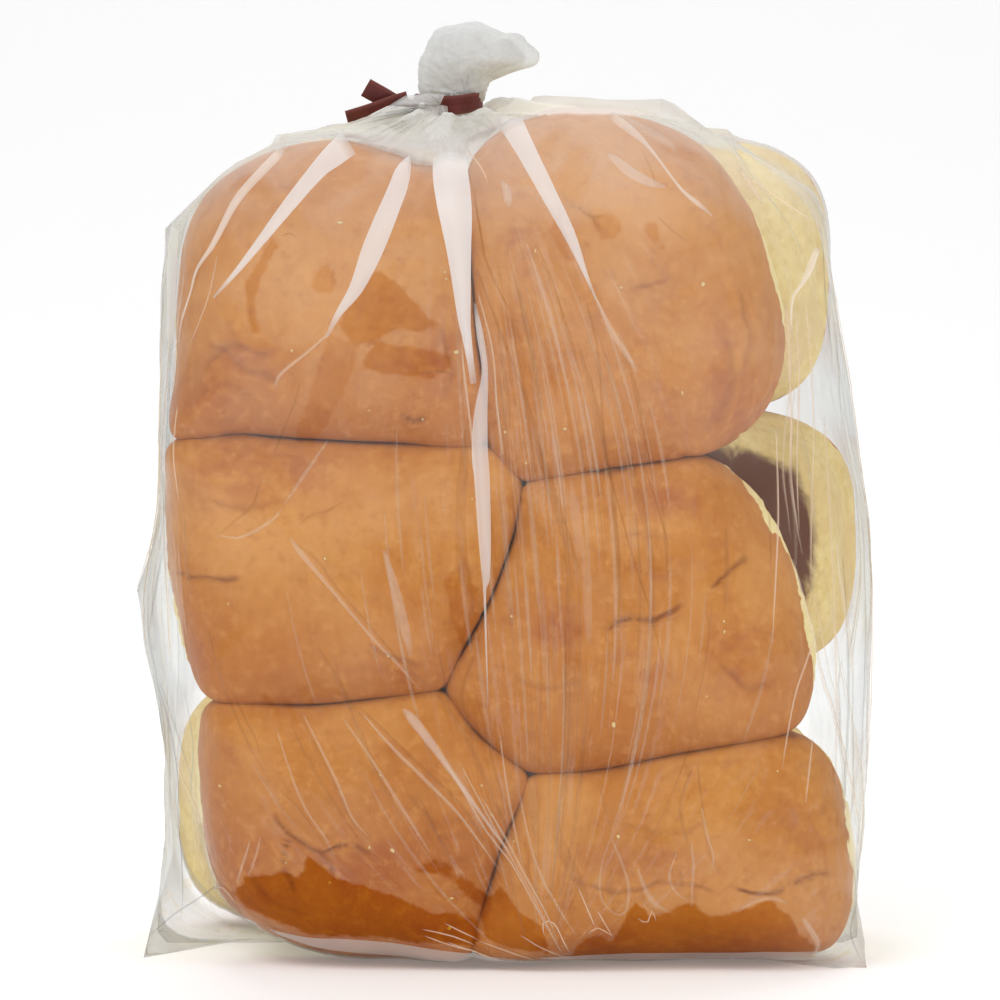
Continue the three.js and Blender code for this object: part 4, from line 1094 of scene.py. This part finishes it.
def film():
    """The bag's film from the floor's middle up to the neck, with the marks that its material reads."""
    grid, standoff = film_surface(solid_tree(rolls))
    rows, columns = grid.shape[:2]
    normals = grid_normals(grid, True)
    centre = np.array([0.0, 0.0, 95.0])
    if (normals * (grid - centre)).sum() < 0:
        normals = -normals
    p = grid.reshape(-1, 3)
    x, y, z = p.T
    from_neck = np.hypot(x - NECK_X, y * 1.15)
    high = smoothstep(120, 178, z)
    around = np.tile(np.arange(columns) / columns * 2 * np.pi, rows)
    ring = around + 0.05 * noise3(p, 30, 201, 2)
    pleat = 0.5 + 0.5 * np.cos(23 * ring + 1.6 * np.sin(2 * around))
    fine = 0.5 + 0.5 * np.cos(61 * ring + 2.4 * np.sin(3 * around) + noise3(p, 14, 202, 1))
    depth = 2.3 * np.exp(-(((from_neck - 13) / 11) ** 2)) + 0.75 * np.exp(-(from_neck / 42) ** 2)
    small = 0.8 * np.exp(-(((from_neck - 9) / 7) ** 2)) + 0.2 * np.exp(-(from_neck / 38) ** 2)
    move = high * (depth * pleat**2 + small * fine) * smoothstep(5.2, 10, from_neck)
    loose = smoothstep(0.3, 5, standoff.reshape(-1))
    stretched = np.stack([sweep(x, z), y, 0.18 * z], axis=-1)
    slack = noise3(stretched, 9, 203, 3)
    move += loose * (1.1 * np.abs(slack)) * smoothstep(0.5, 4, z)
    move += 0.22 * np.abs(noise3(stretched, 3.2, 204, 2)) + 0.12 * noise3(p, 5, 205, 2)
    move += 0.4 * smoothstep(150, 172, z)
    move *= smoothstep(0.3, 3, z)
    p = p + normals.reshape(-1, 3) * move[:, None]
    below_band = 185.4 + 0.3 * np.maximum(from_neck - 8, 0)
    p[:, 2] = np.where((y < 1) & (from_neck < 16), np.minimum(p[:, 2], below_band), p[:, 2])
    for tip in EAR_TIPS:
        tip = np.array([tip[0] + SHIFT_X, tip[1], tip[2]])
        nearest = p[np.argmin(((p - tip) ** 2).sum(axis=1))].copy()
        away = np.sqrt((((p - nearest) * np.array([1, 1, 1.3])) ** 2).sum(axis=1))
        pull = np.clip(1 - away / EAR_REACH, 0, 1) ** 1.35
        p = p + pull[:, None] * (tip - nearest)
    p[:, 2] = np.maximum(p[:, 2], 0.08)
    p = np.concatenate([p] + neck_rings(p[-columns:]))
    rows += NECK_ROWS
    x, y, z = p.T
    from_neck = np.hypot(x - NECK_X, y * 1.15)
    pleat, fine = (np.append(values, np.ones(columns * NECK_ROWS)) for values in (pleat, fine))
    standoff = np.append(standoff.reshape(-1), np.zeros(columns * NECK_ROWS))
    front = smoothstep(-8, -22, y)
    px, pz = x - SHIFT_X, z
    cling = np.full(len(p), 9.0)
    hold = np.zeros(len(p))
    for strength, shape in WET_PATCHES:
        away = outline_distance(px, pz, from_photo(shape))
        hold = np.where(away < cling, strength, hold)
        cling = np.minimum(cling, away)
    cling = np.where(front > 0.5, cling, 9.0)
    gathered = 0.62 * np.exp(-((from_neck / 22) ** 2)) * smoothstep(165, 184, z)
    gathered *= 0.7 + 0.45 * pleat * fine
    gathered = np.where(z > NECK_LOW, 0.7, gathered)
    corner = sum(
        np.exp(-(((px - tip_x) ** 2 + (y - tip_y) ** 2 + z**2) / 20**2)) for tip_x, tip_y, _ in EAR_TIPS
    )
    milk_and_reflection = np.clip(gathered + 0.10 * corner, 0, 0.92)
    busy = np.exp(-(((x - 10) / 26) ** 2)) + 0.7 * smoothstep(60, 20, z)
    busy *= 1 - 0.8 * smoothstep(150, 165, z)
    # Painted reflection of the white room, stronger towards the top as if from the overhead light.
    veil = 0.12 + 0.88 * smoothstep(70, 165, z) + 2.2 * smoothstep(154, 182, z)
    veil = veil + 0.35 * noise3(p, 30, 206, 2)
    smoke = smoothstep(60, 74, np.abs(px)) * smoothstep(2, 6, standoff) * np.where(px < 0, 0.24, 0.04)
    smoke = smoke * (0.8 + 0.9 * noise3(np.stack([px, y, 0.15 * z], axis=-1), 7, 207, 3))
    body = np.concatenate([p, [[SHIFT_X, 0, 0.12]]])
    faces = grid_faces(rows, columns, True).tolist()
    faces += [[len(p), j, (j + 1) % columns] for j in range(columns)]
    faces = [face[::-1] for face in faces]
    grey = np.clip(1.4 * gathered + corner, 0, 1)
    marks = {"milk_and_reflection": milk_and_reflection, "gather": grey, "cling": cling, "hold": hold, "smoke": np.clip(smoke, 0, 1)}
    marks |= {"busy": np.clip(busy, 0, 1), "veil": np.clip(veil, 0, 2.8), "sweep": sweep(x, z)}
    marks = {key: np.append(values, values[0]) for key, values in marks.items()}
    return make_mesh("film_bag", body, faces, FILM, marks)


film_bag = film()
film_tree = solid_tree([film_bag])

# ---------------------------------------------------------------------------------------------
# Folds in the film
# ---------------------------------------------------------------------------------------------

FACES = {
    # How a fold's (across, up) places turn into a ray onto the film: start and direction.
    "front": lambda a, z: ((a, -90, z), (0, 1, 0)),
    "back": lambda a, z: ((a, 90, z), (0, -1, 0)),
    "left": lambda a, z: ((-120, a, z), (1, 0, 0)),
    "right": lambda a, z: ((120, a, z), (-1, 0, 0)),
}


def lay(line, height, face="front", step=1.1):
    """Rows of five points across a fold that stands on the film along line, or None where it misses."""
    line = np.asarray(line, float)
    spans = np.hypot(*np.diff(line[:, :2], axis=0).T)
    per = 6
    smooth = catmull(line, per, False)
    along = np.concatenate([[0], np.cumsum(np.hypot(*np.diff(smooth[:, :2], axis=0).T))])
    count = max(int(spans.sum() / step), 5)
    at = np.linspace(0, along[-1], count)
    a, z, half = (np.interp(at, along, smooth[:, k]) for k in range(3))
    half = np.maximum(half, 0.05)
    da, dz = np.gradient(a), np.gradient(z)
    length = np.hypot(da, dz)
    na, nz = -dz / length, da / length
    rows = []
    for k in range(count):
        row = []
        for across, rise in ((-1, 0.12), (-0.5, 0.8), (0, 1.0), (0.5, 0.7), (1, 0.12)):
            start, way = FACES[face](a[k] + across * half[k] * na[k], z[k] + across * half[k] * nz[k])
            place, normal, _, _ = film_tree.ray_cast(Vector(start), Vector(way), 200)
            if place is None:
                return None
            if normal.dot(Vector(way)) > 0:
                normal = -normal
            lift = 0.12 + rise * height * min(1.0, half[k] / 0.6)
            row.append(tuple(place + normal * lift))
        rows.append(row)
    return np.array(rows), at / along[-1]


def folds(name, entries):
    """One piece of many folds. An entry is (mark, strength, height, line, face), and its mark says how
    the fold looks: "haze" for white, mostly painted reflection, "wet" for darker crust under it, "smoke" for
    grey."""
    points, faces = [], []
    marks = {"milk_and_reflection": [], "wet": [], "smoke": [], "glint_tint": []}
    first = 0
    for mark, strength, height, line, face in entries:
        laid = lay(line, height, face)
        if laid is None:
            continue
        rows, share = laid
        count = len(rows)
        points.append(rows.reshape(-1, 3))
        faces += (grid_faces(count, 5, False) + first).tolist()
        fade = smoothstep(0, 0.05, share) * smoothstep(1, 0.82, share)
        crisp = float(smoothstep(0.5, 1.3, max(half for _, _, half in line)))
        profile = crisp + (1 - crisp) * np.array([0.25, 0.8, 1.0, 0.8, 0.25])
        along = 0.35 + 0.65 * fade if mark == "milk_and_reflection" else fade
        for values in marks.values():
            values.append(np.zeros(count * 5))
        marks[mark][-1] = np.outer(strength * along, profile).reshape(-1)
        # Narrow folds get a warm white: painted glints.
        marks["glint_tint"][-1] += 0.9 * (1 - crisp)
        first += count * 5
    marks = {key: np.concatenate(values) for key, values in marks.items()}
    return make_mesh(name, np.concatenate(points), faces, FILM, marks)


def strand_line(sweep_mm, high, low, half, points=9):
    """A line down the film that keeps to one sweep, as (across, up, half width)."""
    up = np.linspace(high, low, points)
    grid_x = np.linspace(-95, 95, 381)
    line = []
    for k, z in enumerate(up):
        across = np.interp(sweep_mm, sweep(grid_x, np.full(381, z)), grid_x)
        share = k / (points - 1)
        line.append((across, z, half * (0.25 + 1.5 * share * (1 - share) * 2)))
    return line


def strands(face, count, seed, sweeps, mark, strength, tops, lengths, halves):
    """Seeded fine folds along the film's sweep."""
    random = np.random.default_rng(seed)
    entries = []
    for _ in range(count):
        at = random.uniform(*sweeps)
        high = random.uniform(*tops)
        low = max(high - random.uniform(*lengths), 6)
        half = random.uniform(*halves)
        tone = random.uniform(0.5, 1)
        line = strand_line(at, high, low, half)
        if face in ("left", "right"):
            line = [(0.6 * a, z, h) for a, z, h in line]
        entries.append((mark, strength * tone, 0.25 + half * 0.3, line, face))
    return entries


def moved(line):
    return [(x + SHIFT_X, z, half) for x, z, half in from_photo(line)]


# Fine folds: the face, how many, the seed, from which sweep to which, the mark and its strength, and
# the ranges of their top, length and half width in mm.
FINE_WET = [
    ("front", 34, 33, (-2, 34), "wet", 0.24, (60, 160), (18, 55), (0.15, 0.7)),
    ("front", 20, 34, (-56, 50), "wet", 0.20, (30, 110), (12, 40), (0.15, 0.6)),
]
# White fine folds on the front: painted reflection streaks.
FINE_WHITE = [
    ("front", 46, 31, (-8, 34), "milk_and_reflection", 0.20, (70, 165), (18, 60), (0.15, 0.6)),
    ("front", 26, 32, (-60, 60), "milk_and_reflection", 0.15, (35, 120), (14, 50), (0.15, 0.5)),
]
# White streaks round the back and sides: painted reflection.
ROUND_THE_BACK = [
    ("back", 46, 35, (-62, 62), "milk_and_reflection", 0.42, (40, 176), (20, 90), (0.15, 0.9)),
    ("back", 7, 36, (-50, 50), "milk_and_reflection", 0.62, (150, 176), (40, 90), (1.4, 2.4)),
    ("left", 20, 37, (-52, 52), "milk_and_reflection", 0.4, (60, 160), (20, 80), (0.15, 0.8)),
    ("right", 22, 38, (-52, 52), "milk_and_reflection", 0.4, (60, 160), (20, 80), (0.15, 0.8)),
]
WET_LINE_SHARE = 0.36  # how strongly a thin wet line shows

entries = [("wet", WET_LINE_SHARE * wet, 0.15, moved(line), "front") for wet, line in WET_LINES]
entries += [entry for row in FINE_WET for entry in strands(*row)]
entries += [("smoke", grey, 0.2, moved(line), "front") for grey, line in FIN_LINES]
entries += [entry for row in FINE_WHITE for entry in strands(*row)]
entries += [("milk_and_reflection", milk_and_reflection, height, moved(line), "front") for milk_and_reflection, height, line in FOLDS]
entries += [entry for row in ROUND_THE_BACK for entry in strands(*row)]
film_folds = folds("film_folds", entries)
film_pieces = [film_bag, film_folds]

# ---------------------------------------------------------------------------------------------
# Gathered neck, loose tuft and twist tie
# ---------------------------------------------------------------------------------------------

TUFT_MIDDLE = (-8.8, 198.0)
# The tuft's outline from the front, in photo pixels.
TUFT_OUTLINE = [
    (436, 110), (458, 112), (479, 106), (485, 93), (489, 84), (497, 79), (512, 73), (527, 69), (537, 65),
    (540, 54), (531, 43.5), (519.5, 33), (506, 32), (492.5, 27), (477.5, 21), (454.5, 24), (437, 28),
    (428.5, 37), (423.5, 50), (418, 60), (417, 73), (417, 88), (420, 99),
]
TUFT_HALF_DEPTH = 8.3
GATHER_APEX = (-14.2, -6.7, 188.0)
# The pleated gather below the tie, from its left top round the bottom to its right end: x, z.
GATHER_EDGE = [
    (-13.2, 190.4), (-17, 190.5), (-22, 190), (-27, 186.9), (-32.1, 183.5), (-38.5, 181.7), (-34, 180.2),
    (-29.4, 179.1), (-23, 177.1), (-19.4, 175.1), (-15.1, 174.7), (-12, 175.1), (-10.3, 176.1), (-8.7, 177.5),
    (-7.4, 179.9), (-1.7, 182.7), (-3.6, 185.2), (-7.5, 185.4),
]


def milky(milk_and_reflection, grey):
    """Marks of film so crumpled that it looks milky: how much, and how grey instead of white."""
    return {"milk_and_reflection": milk_and_reflection, "gather": np.full(len(milk_and_reflection), grey)}


def tuft(name, scale, seed, white, around=168, across=84):
    """A crumpled bulb of film, creased from where the tie holds it."""
    corners = [(x - TUFT_MIDDLE[0], z - TUFT_MIDDLE[1]) for x, z in from_photo(TUFT_OUTLINE)]
    line = catmull(corners, 8, True)
    angle = np.arctan2(line[:, 1], line[:, 0]) % (2 * np.pi)
    order = np.argsort(angle)
    at = np.arange(around) / around * 2 * np.pi
    reach = np.interp(at, angle[order], np.hypot(line[:, 0], line[:, 1])[order], period=2 * np.pi)
    phi = np.linspace(0, np.pi, across)[:, None]
    share = np.sin(phi) ** 0.8
    x = TUFT_MIDDLE[0] + SHIFT_X + scale * reach * share * np.cos(at)
    z = TUFT_MIDDLE[1] + scale * reach * share * np.sin(at)
    waist = 0.66 + 0.34 * smoothstep(191.5, 198.5, z)
    lobe = 1 - 0.45 * smoothstep(-1, 7, x)
    y = -scale * TUFT_HALF_DEPTH * np.cos(phi) * waist * lobe
    p = np.stack([x, y, z], axis=-1).reshape(-1, 3)
    normals = grid_normals(p.reshape(across, around, 3), True).reshape(-1, 3)
    out = p - np.array([TUFT_MIDDLE[0] + SHIFT_X, 0, TUFT_MIDDLE[1]])
    if (normals * out).sum() < 0:
        normals = -normals
    up = p[:, 2] - 190.2
    spoke = np.arctan2(p[:, 0] - NECK_X + 0.35 * p[:, 1], up)
    away = np.hypot(p[:, 0] - NECK_X, up)
    spokes = np.stack([spoke * 9, p[:, 1] * 0.12, away * 0.12], axis=-1)
    crease = 1 - np.abs(noise3(spokes, 1.6, seed, 3)) * 2.2
    folds_near = np.exp(-((away / 9) ** 2))
    rumple = 1 - 2 * np.abs(noise3(p + 1.5 * noise3(p, 6, seed + 3, 1)[:, None], 7.5, seed + 1, 4, 0.55))
    fine = 1 - 2 * np.abs(noise3(p, 2.6, seed + 2, 3, 0.6))
    move = (0.15 + 0.55 * folds_near) * crease + 0.5 * (rumple - 0.6) + 0.12 * (fine - 0.6)
    off_pole = np.repeat(smoothstep(0.0, 0.3, share), around, axis=1).reshape(-1)
    p = p + normals * (move * 0.8 * off_pole - 0.2)[:, None]
    p[:, 2] = np.minimum(p[:, 2], 207.2)
    milk_and_reflection = white + 0.14 * (rumple - 0.6) + 0.08 * (fine - 0.6)
    milk_and_reflection -= 0.34 * smoothstep(-4, 5, p[:, 0]) * smoothstep(194, 198, p[:, 2])
    faces = grid_faces(across, around, True)[:, ::-1]
    return make_mesh(name, p, faces, FILM, milky(np.clip(milk_and_reflection, 0, 0.95), 0.9))


def gather(columns=200, rows=44):
    """The pleated fan of film in front of the neck."""
    edge = np.asarray(GATHER_EDGE, float)
    along = np.concatenate([[0], np.cumsum(np.hypot(*np.diff(edge, axis=0).T))])
    at = np.linspace(0, along[-1], columns)
    ex = soften(np.interp(at, along, edge[:, 0]), 0.5)
    ez = np.interp(at, along, edge[:, 1])
    ex[0], ex[-1] = edge[0, 0], edge[-1, 0]
    ex[:3] = np.interp(at[:3], along, edge[:, 0])
    ex[-3:] = np.interp(at[-3:], along, edge[:, 0])
    share = np.linspace(0.02, 1.0, rows)[:, None] ** 1.1
    x = GATHER_APEX[0] + share * (ex - GATHER_APEX[0])
    z = GATHER_APEX[2] + share * (ez - GATHER_APEX[2])
    fan = at / along[-1] * 17 + 0.7 * np.sin(at * 0.35)
    pleats = np.abs(2 * (fan % 1) - 1)
    small = np.abs(2 * ((fan * 2.7 + 0.31) % 1) - 1)
    y = np.empty(x.shape)
    for i in range(rows):
        for j in range(columns):
            place = film_tree.ray_cast(Vector((x[i, j] + SHIFT_X, -90, z[i, j])), Vector((0, 1, 0)), 90)[0]
            y[i, j] = place.y if place else -6.4
    y = np.minimum(y, -6.2)
    held = np.exp(-((share / 0.35) ** 2))
    y = y * (1 - held) + GATHER_APEX[1] * held
    lift = 0.5 + (0.3 + 1.3 * np.sin(np.pi * np.clip(share, 0, 1)) ** 1.2) * (0.65 * pleats + 0.35 * small)
    y = y - lift * smoothstep(0.0, 0.2, share)
    behind = smoothstep(-13.6, -12.4, x) * smoothstep(184.6, 185.6, z)
    y = np.where(behind > 0, y * (1 - behind) + -4.7 * behind, y)
    flat = np.stack([x + SHIFT_X, y, z], axis=-1).reshape(-1, 3)
    flat[:, 1] += 0.3 * noise3(flat, 3.0, 61, 3)
    ends = np.repeat(share, columns, axis=1).reshape(-1)
    strip = np.tile(pleats * 0.6 + small * 0.4, rows)
    milk_and_reflection = 0.66 + 0.22 * (strip - 0.5) + 0.10 * noise3(flat, 4, 62, 2)
    milk_and_reflection *= smoothstep(1.02, 0.86, ends) * 0.55 + 0.45
    faces = grid_faces(rows, columns, False)
    return make_mesh("film_gather", flat, faces, FILM, milky(np.clip(milk_and_reflection, 0, 0.9), 1.0))


BAND_RADIUS = 5.35
BAND_THICK = 0.34
STRIP_WIDTH = 4.4
WIRE = 0.42  # how far the wire in the strip's middle stands up


def strip_section(width, thick, wire):
    """A flat paper strip's section with its wire ridge: (across, out) points, and how near an edge."""
    across = [-1, -0.97, -0.6, -0.2, -0.1, 0, 0.1, 0.2, 0.6, 0.97, 1, 0.97, 0.5, 0, -0.5, -0.97]
    out = np.array([0] + [0.5] * 9 + [0] + [-0.5] * 5) * thick
    out = out + wire * np.array([0, 0, 0.05, 0.35, 0.8, 1, 0.8, 0.35, 0.05, 0, 0, 0, 0, -0.3, 0, 0])
    edge = np.array([1, 0.6, 0, 0, 0, 0, 0, 0, 0, 0.6, 1, 0.6, 0, 0, 0, 0.6])
    return np.array(across) * width / 2, out, edge


def swept_strip(middle, wide, width, thick, wire, closed):
    """(points, faces, edge marks) of a strip along middle, its width along wide."""
    middle = np.asarray(middle, float)
    if closed:
        tangent = np.roll(middle, -1, axis=0) - np.roll(middle, 1, axis=0)
    else:
        tangent = np.gradient(middle, axis=0)
    tangent /= np.linalg.norm(tangent, axis=1, keepdims=True)
    wide = np.asarray(wide, float)
    wide = wide - tangent * (wide * tangent).sum(axis=1, keepdims=True)
    wide /= np.linalg.norm(wide, axis=1, keepdims=True)
    out = np.cross(tangent, wide)
    across, rise, edge = strip_section(width, thick, wire)
    rows = middle[:, None] + wide[:, None] * across[None, :, None] + out[:, None] * rise[None, :, None]
    count, around = rows.shape[:2]
    faces = grid_faces(count, around, True).tolist()
    points = rows.reshape(-1, 3)
    marks = np.tile(edge, count)
    if closed:
        last = (count - 1) * around
        faces += [(last + j, last + (j + 1) % around, (j + 1) % around, j) for j in range(around)]
    else:
        faces += [tuple(range(around))[::-1], tuple((count - 1) * around + j for j in range(around))]
        marks[:around] = 1
        marks[-around:] = 1
    return points, faces, marks


def smooth_route(points):
    """A smooth line of about 60 points, set beside the camera's line as the outlines are."""
    return catmull(points, 60 // (len(points) - 1), False) + np.array([SHIFT_X, 0, 0])


def tie():
    """The paper tie: a band round the neck, its twist, and two loose tails with square ends."""
    parts = []
    turn = np.arange(96) / 96 * 2 * np.pi
    low = 188.3 + 0.55 * np.cos(turn) - 0.35 * np.exp(-(((turn - 1.5 * np.pi) / 0.8) ** 2))
    ring = np.stack([NECK_X + BAND_RADIUS * np.cos(turn), BAND_RADIUS * 1.02 * np.sin(turn), low], axis=-1)
    lean = np.stack([0.10 * np.cos(turn), 0.10 * np.sin(turn), np.ones(96)], axis=-1)
    parts.append(swept_strip(ring, lean, STRIP_WIDTH * 0.98, BAND_THICK, -WIRE * 0.5, True))
    knot = smooth_route([(-15.6, -1.2, 188.6), (-17.5, -2.0, 188.9), (-20, -2.6, 189.3)])
    spin = np.linspace(0, 7.5, len(knot))
    wide = np.stack([np.zeros(len(knot)), np.sin(spin), np.cos(spin)], axis=-1)
    parts.append(swept_strip(knot, wide, STRIP_WIDTH * 0.55, BAND_THICK * 2.2, WIRE, False))
    upper = smooth_route([
        (-19.5, -2.9, 186.6), (-23.8, -3.2, 187.9), (-27.2, -3.4, 189.8), (-30.8, -3.8, 191.8),
    ])
    lean = np.tile([0.05, -0.22, 1.0], (len(upper), 1))
    parts.append(swept_strip(upper, lean, STRIP_WIDTH, BAND_THICK, WIRE, False))
    lower = smooth_route([
        (-21.4, -4.1, 189.2), (-25.0, -4.4, 188.2), (-29.6, -4.6, 186.6), (-35.0, -5.0, 185.0),
    ])
    sway = np.linspace(-0.3, -0.62, len(lower))
    lean = np.stack([np.full(len(lower), 0.05), sway, np.ones(len(lower))], axis=-1)
    parts.append(swept_strip(lower, lean, STRIP_WIDTH * 0.86, BAND_THICK, WIRE, False))
    points, faces, marks = [], [], []
    first = 0
    for some, quads, edge in parts:
        points.append(some)
        faces += [tuple(first + v for v in quad) for quad in quads]
        marks.append(edge)
        first += len(some)
    return make_mesh("tie_strip", np.concatenate(points), faces, PAPER, {"edge": np.concatenate(marks)})


film_tuft = tuft("film_tuft", 1.0, 71, 0.70)
film_tuft_inner = tuft("film_tuft_inner", 0.80, 81, 0.62, 120, 60)
film_gather = gather()
tie_strip = tie()
film_pieces += [film_tuft, film_tuft_inner, film_gather]

CRUMBS = 46


def crumbs():
    """Small pale crumbs caught under the film, over the front rolls."""
    random = np.random.default_rng(90)
    tree = solid_tree(rolls[:6])
    points, faces = [], []
    first = 0
    spots = [(38.2, 126.1)] + [(random.uniform(-66, 64), random.uniform(10, 172)) for _ in range(CRUMBS)]
    for x, z in spots:
        place, normal, _, _ = tree.ray_cast(Vector((x + SHIFT_X, -90, z)), Vector((0, 1, 0)), 120)
        if place is None or normal.y > -0.6:
            continue
        size = random.uniform(0.18, 0.42)
        stretch = random.uniform(0.6, 1.5, 3)
        blob = []
        for ring in range(1, 4):
            tilt = math.pi * ring / 4
            for k in range(6):
                a = k / 6 * 2 * math.pi
                blob.append((math.sin(tilt) * math.cos(a), math.cos(tilt), math.sin(tilt) * math.sin(a)))
        blob = np.array([(0, 1, 0)] + blob + [(0, -1, 0)])
        blob = blob * (1 + random.uniform(-0.3, 0.3, (len(blob), 1))) * stretch * size * [1, 0.5, 1]
        points.append(blob + np.array([place.x, place.y - 0.12, place.z]))
        for k in range(6):
            m = (k + 1) % 6
            faces.append((first, first + 1 + m, first + 1 + k))
            faces.append((first + 19, first + 13 + k, first + 13 + m))
            for ring in range(2):
                a = first + 1 + ring * 6
                faces.append((a + k, a + m, a + 6 + m, a + 6 + k))
        first += 20
    points = np.concatenate(points)
    return make_mesh("crumbs", points, faces, CRUST, {"pale": np.ones(len(points))})


crumb_piece = crumbs()

# ---------------------------------------------------------------------------------------------
# Stage, lights and camera
# ---------------------------------------------------------------------------------------------


def cyclorama():
    """A pale floor that curves up into a backdrop."""
    depth, rise, bend, half = 2.2, 2.6, 0.7, 3.0
    profile = [(-2.4, 0.0), (depth - bend, 0.0)]
    for a in np.linspace(0, math.pi / 2, 14)[1:]:
        profile.append((depth - bend + bend * math.sin(a), bend - bend * math.cos(a)))
    profile.append((depth, rise))
    points = [(x * 1000, y * 1000, z * 1000) for y, z in profile for x in (-half, half)]
    faces = [(2 * i, 2 * i + 1, 2 * i + 3, 2 * i + 2) for i in range(len(profile) - 1)]
    n = Nodes("stage_white")
    diffuse = n.add("BsdfDiffuse", {"Color": rgb(0.9, 0.9, 0.9)}).outputs[0]
    lift = n.add("Emission", {"Color": rgb(1, 1, 1), "Strength": 0.16}).outputs[0]
    white = n.finish(n.add("AddShader", {0: diffuse, 1: lift}).outputs[0])
    stage = make_mesh("studio_floor", points, faces, white)


LIGHT_AIM = Vector((0, 0, 0.1))


def area_light(name, place, width, height, power):
    """A soft light aimed at the bag, which shows in no reflection."""
    data = bpy.data.lights.new(name, "AREA")
    data.shape = "RECTANGLE"
    data.size, data.size_y = width, height
    data.energy = power
    light = bpy.data.objects.new(name, data)
    light.visible_glossy = False
    light.location = place
    light.rotation_mode = "QUATERNION"
    light.rotation_quaternion = (LIGHT_AIM - Vector(place)).to_track_quat("-Z", "Y")
    bpy.context.collection.objects.link(light)


def world_light():
    world = bpy.data.worlds.new("studio")
    world.use_nodes = True
    world.node_tree.nodes["Background"].inputs[0].default_value = (1.0, 1.0, 1.0, 1.0)
    world.node_tree.nodes["Background"].inputs[1].default_value = 0.55
    bpy.context.scene.world = world


CAMERA_DISTANCE = 1.3
CAMERA_ELEVATION = math.radians(4.0)
SENSOR = 36.0
PX_MM = 0.2235  # one pixel of the 1000-pixel image at the middle plane
AIM = Vector(((SHIFT_X - 1.0) * MM, 0.0, 99.8 * MM))


def camera():
    data = bpy.data.cameras.new("camera")
    data.sensor_width = SENSOR
    data.lens = SENSOR * CAMERA_DISTANCE / (PX_MM * 1000 * MM)
    cam = bpy.data.objects.new("camera", data)
    back = Vector((0, -math.cos(CAMERA_ELEVATION), math.sin(CAMERA_ELEVATION)))
    cam.location = AIM + back * CAMERA_DISTANCE
    cam.rotation_mode = "QUATERNION"
    cam.rotation_quaternion = (-back).to_track_quat("-Z", "Y")
    bpy.context.collection.objects.link(cam)
    bpy.context.scene.camera = cam


cyclorama()
world_light()
area_light("key_top_left", (-0.9, -1.0, 1.5), 1.0, 0.8, 12.5)
area_light("fill_right", (1.2, -1.0, 0.9), 0.9, 0.9, 7)
area_light("back_top", (0.0, 0.9, 1.6), 1.2, 0.8, 12)
camera()

scene = bpy.context.scene
scene.view_settings.view_transform = "Standard"
scene.view_settings.look = "None"
scene.cycles.diffuse_bounces = 2
scene.cycles.transparent_max_bounces = 12
# Clear film casts no shadow and is left out of the light between the rolls, which keeps the render short.
for piece in (film_bag, film_folds):
    piece.visible_shadow = False
    piece.visible_diffuse = False

# ---------------------------------------------------------------------------------------------
# Riding and replacing
# ---------------------------------------------------------------------------------------------

for roll in rolls:
    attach(roll, "root")
    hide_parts("bag_of_rolls")
for piece in film_pieces:
    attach(piece, "root")
    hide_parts("bag_of_rolls")
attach(crumb_piece, "root")
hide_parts("bag_of_rolls")
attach(tie_strip, "root")
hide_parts("twist_tie")
